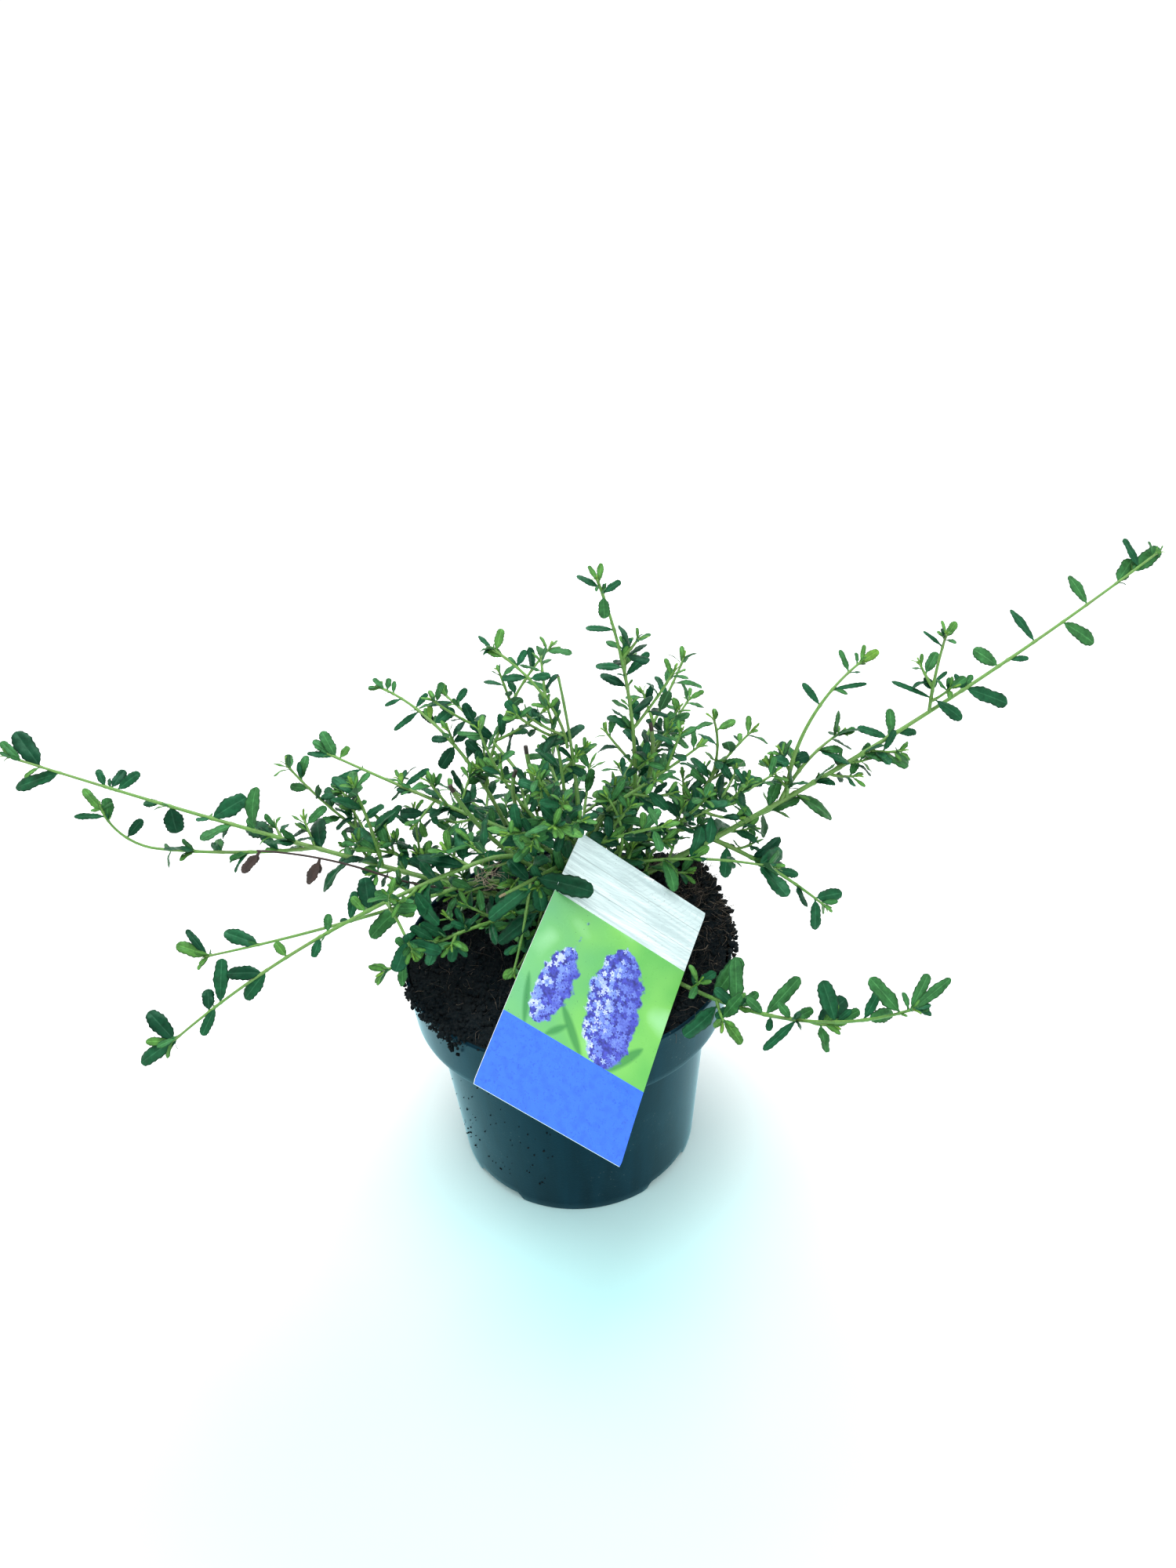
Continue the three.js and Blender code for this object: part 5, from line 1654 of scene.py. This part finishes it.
class LILAC_OT_dead_twig(bpy.types.Operator):
    """Build the dead twig and its shrivelled leaves"""

    bl_idname = "lilac.dead_twig"
    bl_label = "Dead twig"

    def execute(self, context):
        plant = context.scene.lilac.plant
        random = seeded(DEAD_SEED)
        twig = shoot_from_leader(*DEAD_TWIG)
        face = np.array([0.2, -1.0, 0.5])

        def radius(distance):
            return twig.radius(max(distance, 0)) * 0.85

        batch = Batch()
        tube(batch, twig, -2.0, twig.length, 7, 1.5, radius)
        for share, heading, lift, length in DEAD_LEAVES:
            root = twig.point(share * twig.length)
            hanging = towards(math.radians(heading), math.radians(lift))
            for part, sway in ((1.0, 0.0), (0.55, 0.7)):
                direction = unit(hanging + np.array([sway, random() - 0.5, 0.0]) * 0.5)
                size = (length * part, length * part * 0.36)
                points = LARGE_BLADE.points(
                    root, direction, face, size, 0.6, 0.5, 0.9, random() * 6, 0.5, petiole=2.5
                )
                LARGE_BLADE.add(batch, points)
        dry = bark_material("dead_leaf", plant.dead, opaque(plant.dead, 2.5))
        piece = batch.piece("dead_twig_and_leaves", "dead", [dry] * 5, sharp=70)
        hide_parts("dead_twig")
        return {"FINISHED"}


class LILAC_OT_stage(bpy.types.Operator):
    """Set the floor, the soft lights and the camera"""

    bl_idname = "lilac.stage"
    bl_label = "Stage"

    CAMERA_PLACE = (0.015, -0.475, 0.526)
    CAMERA_PITCH = 32.2
    CAMERA_ROLL = -3.0
    LIT_PLACE = (0.0, 0.0, 0.15)

    def execute(self, context):
        stage = context.scene.lilac.stage
        self.floor(stage)
        self.lights(context.scene, stage)
        self.camera(context.scene, stage)
        return {"FINISHED"}

    def floor(self, stage):
        sides, radii = 96, (0.5, 2.0, 40.0)
        rings = [around(radius, turn).tolist() for radius in radii for turn in full_turn(sides)]
        quads = grid_quads(len(radii), sides, closed=True) + 1
        mesh = bpy.data.meshes.new("floor")
        mesh.from_pydata([(0.0, 0.0, 0.0), *rings], [], fan(0, 1, sides).tolist() + quads.tolist())
        floor = bpy.data.objects.new("floor", mesh)
        bpy.context.scene.collection.objects.link(floor)
        graph = Graph("floor_paper", Roughness=0.6, Specular_IOR_Level=0.2)
        x, y = graph.parts(graph.place())
        # The floor is painted with shade: a cyan shadow before and beside the pot that fades into the white
        # floor, and a darker painted contact shadow round the pot's foot.
        away = (((x + 0.045) / 0.21) ** 2.0 + ((y + 0.20) / 0.125) ** 2.0) ** 0.5
        haze = graph.noise(14.0, 2.0)
        share = graph.ramp(away + (haze - 0.5) * 0.12, 0.3, 2.4, smooth=True)
        from_pot = (x**2.0 + y**2.0) ** 0.5
        shade = graph.ramp(from_pot, 0.115, 0.066, 0.0, 0.17, smooth=True)
        paper = graph.mix(share, opaque(stage.tint), opaque(stage.floor))
        graph.set("Base Color", graph.mix(shade, paper, (0.30, 0.58, 0.60, 1.0)))
        mesh.materials.append(graph.material)

    def lights(self, scene, stage):
        world = bpy.data.worlds.new("surround")
        world.use_nodes = True
        background = world.node_tree.nodes["Background"]
        background.inputs["Color"].default_value = (1.0, 1.0, 1.0, 1.0)
        background.inputs["Strength"].default_value = stage.sky
        scene.world = world
        self.softbox("softbox_above", (-0.15, 0.25, 1.5), 1.1, stage.key)
        self.softbox("softbox_front", (0.6, -1.3, 1.2), 0.9, stage.key * 0.35)
        scene.view_settings.view_transform = "Standard"

    def softbox(self, name, place, size, power):
        light = bpy.data.lights.new(name, "AREA")
        light.shape = "DISK"
        light.size = size
        light.energy = power
        holder = bpy.data.objects.new(name, light)
        holder.location = place
        aim = Vector(self.LIT_PLACE) - Vector(place)
        holder.rotation_euler = aim.to_track_quat("-Z", "Y").to_euler()
        bpy.context.scene.collection.objects.link(holder)

    def camera(self, scene, stage):
        pitch, roll = math.radians(self.CAMERA_PITCH), math.radians(self.CAMERA_ROLL)
        forward = Vector((0.0, math.cos(pitch), -math.sin(pitch)))
        level = Vector((1.0, 0.0, 0.0))
        upright = level.cross(forward)
        right = level * math.cos(roll) + upright * math.sin(roll)
        up = upright * math.cos(roll) - level * math.sin(roll)
        data = bpy.data.cameras.new("camera")
        data.lens = stage.lens
        data.sensor_width = 36.0
        data.clip_start = 0.01
        camera = bpy.data.objects.new("camera", data)
        turned = Matrix((right, up, -forward)).transposed().to_4x4()
        camera.matrix_world = Matrix.Translation(self.CAMERA_PLACE) @ turned
        scene.collection.objects.link(camera)
        scene.camera = camera


class LILAC_PT_panel(bpy.types.Panel):
    """Lists the steps and the settings of the potted lilac"""

    bl_idname = "LILAC_PT_panel"
    bl_label = "Potted california lilac"
    bl_space_type = "VIEW_3D"
    bl_region_type = "UI"
    bl_category = "Lilac"

    def draw(self, context):
        settings = context.scene.lilac
        for operator, group in (
            (LILAC_OT_pot, settings.pot),
            (LILAC_OT_soil, settings.soil),
            (LILAC_OT_label, settings.label),
            (LILAC_OT_limbs, None),
            (LILAC_OT_leaves, settings.plant),
            (LILAC_OT_dead_twig, None),
            (LILAC_OT_stage, settings.stage),
        ):
            box = self.layout.box()
            box.operator(operator.bl_idname)
            if group is not None:
                for name in group.bl_rna.properties.keys():
                    if name not in ("rna_type", "name"):
                        box.prop(group, name)


CLASSES = (
    PotSettings, SoilSettings, LabelSettings, PlantSettings, StageSettings, LilacSettings,
    LILAC_OT_pot, LILAC_OT_soil, LILAC_OT_label, LILAC_OT_limbs, LILAC_OT_leaves,
    LILAC_OT_dead_twig, LILAC_OT_stage, LILAC_PT_panel,
)


def register():
    for cls in CLASSES:
        bpy.utils.register_class(cls)
    bpy.types.Scene.lilac = PointerProperty(type=LilacSettings)


def unregister():
    del bpy.types.Scene.lilac
    for cls in reversed(CLASSES):
        bpy.utils.unregister_class(cls)


def main():
    register()
    bpy.ops.lilac.stage()
    bpy.ops.lilac.pot()
    bpy.ops.lilac.soil()
    bpy.ops.lilac.label()
    bpy.ops.lilac.limbs()
    bpy.ops.lilac.leaves()
    bpy.ops.lilac.dead_twig()


if __name__ == "__main__":
    main()
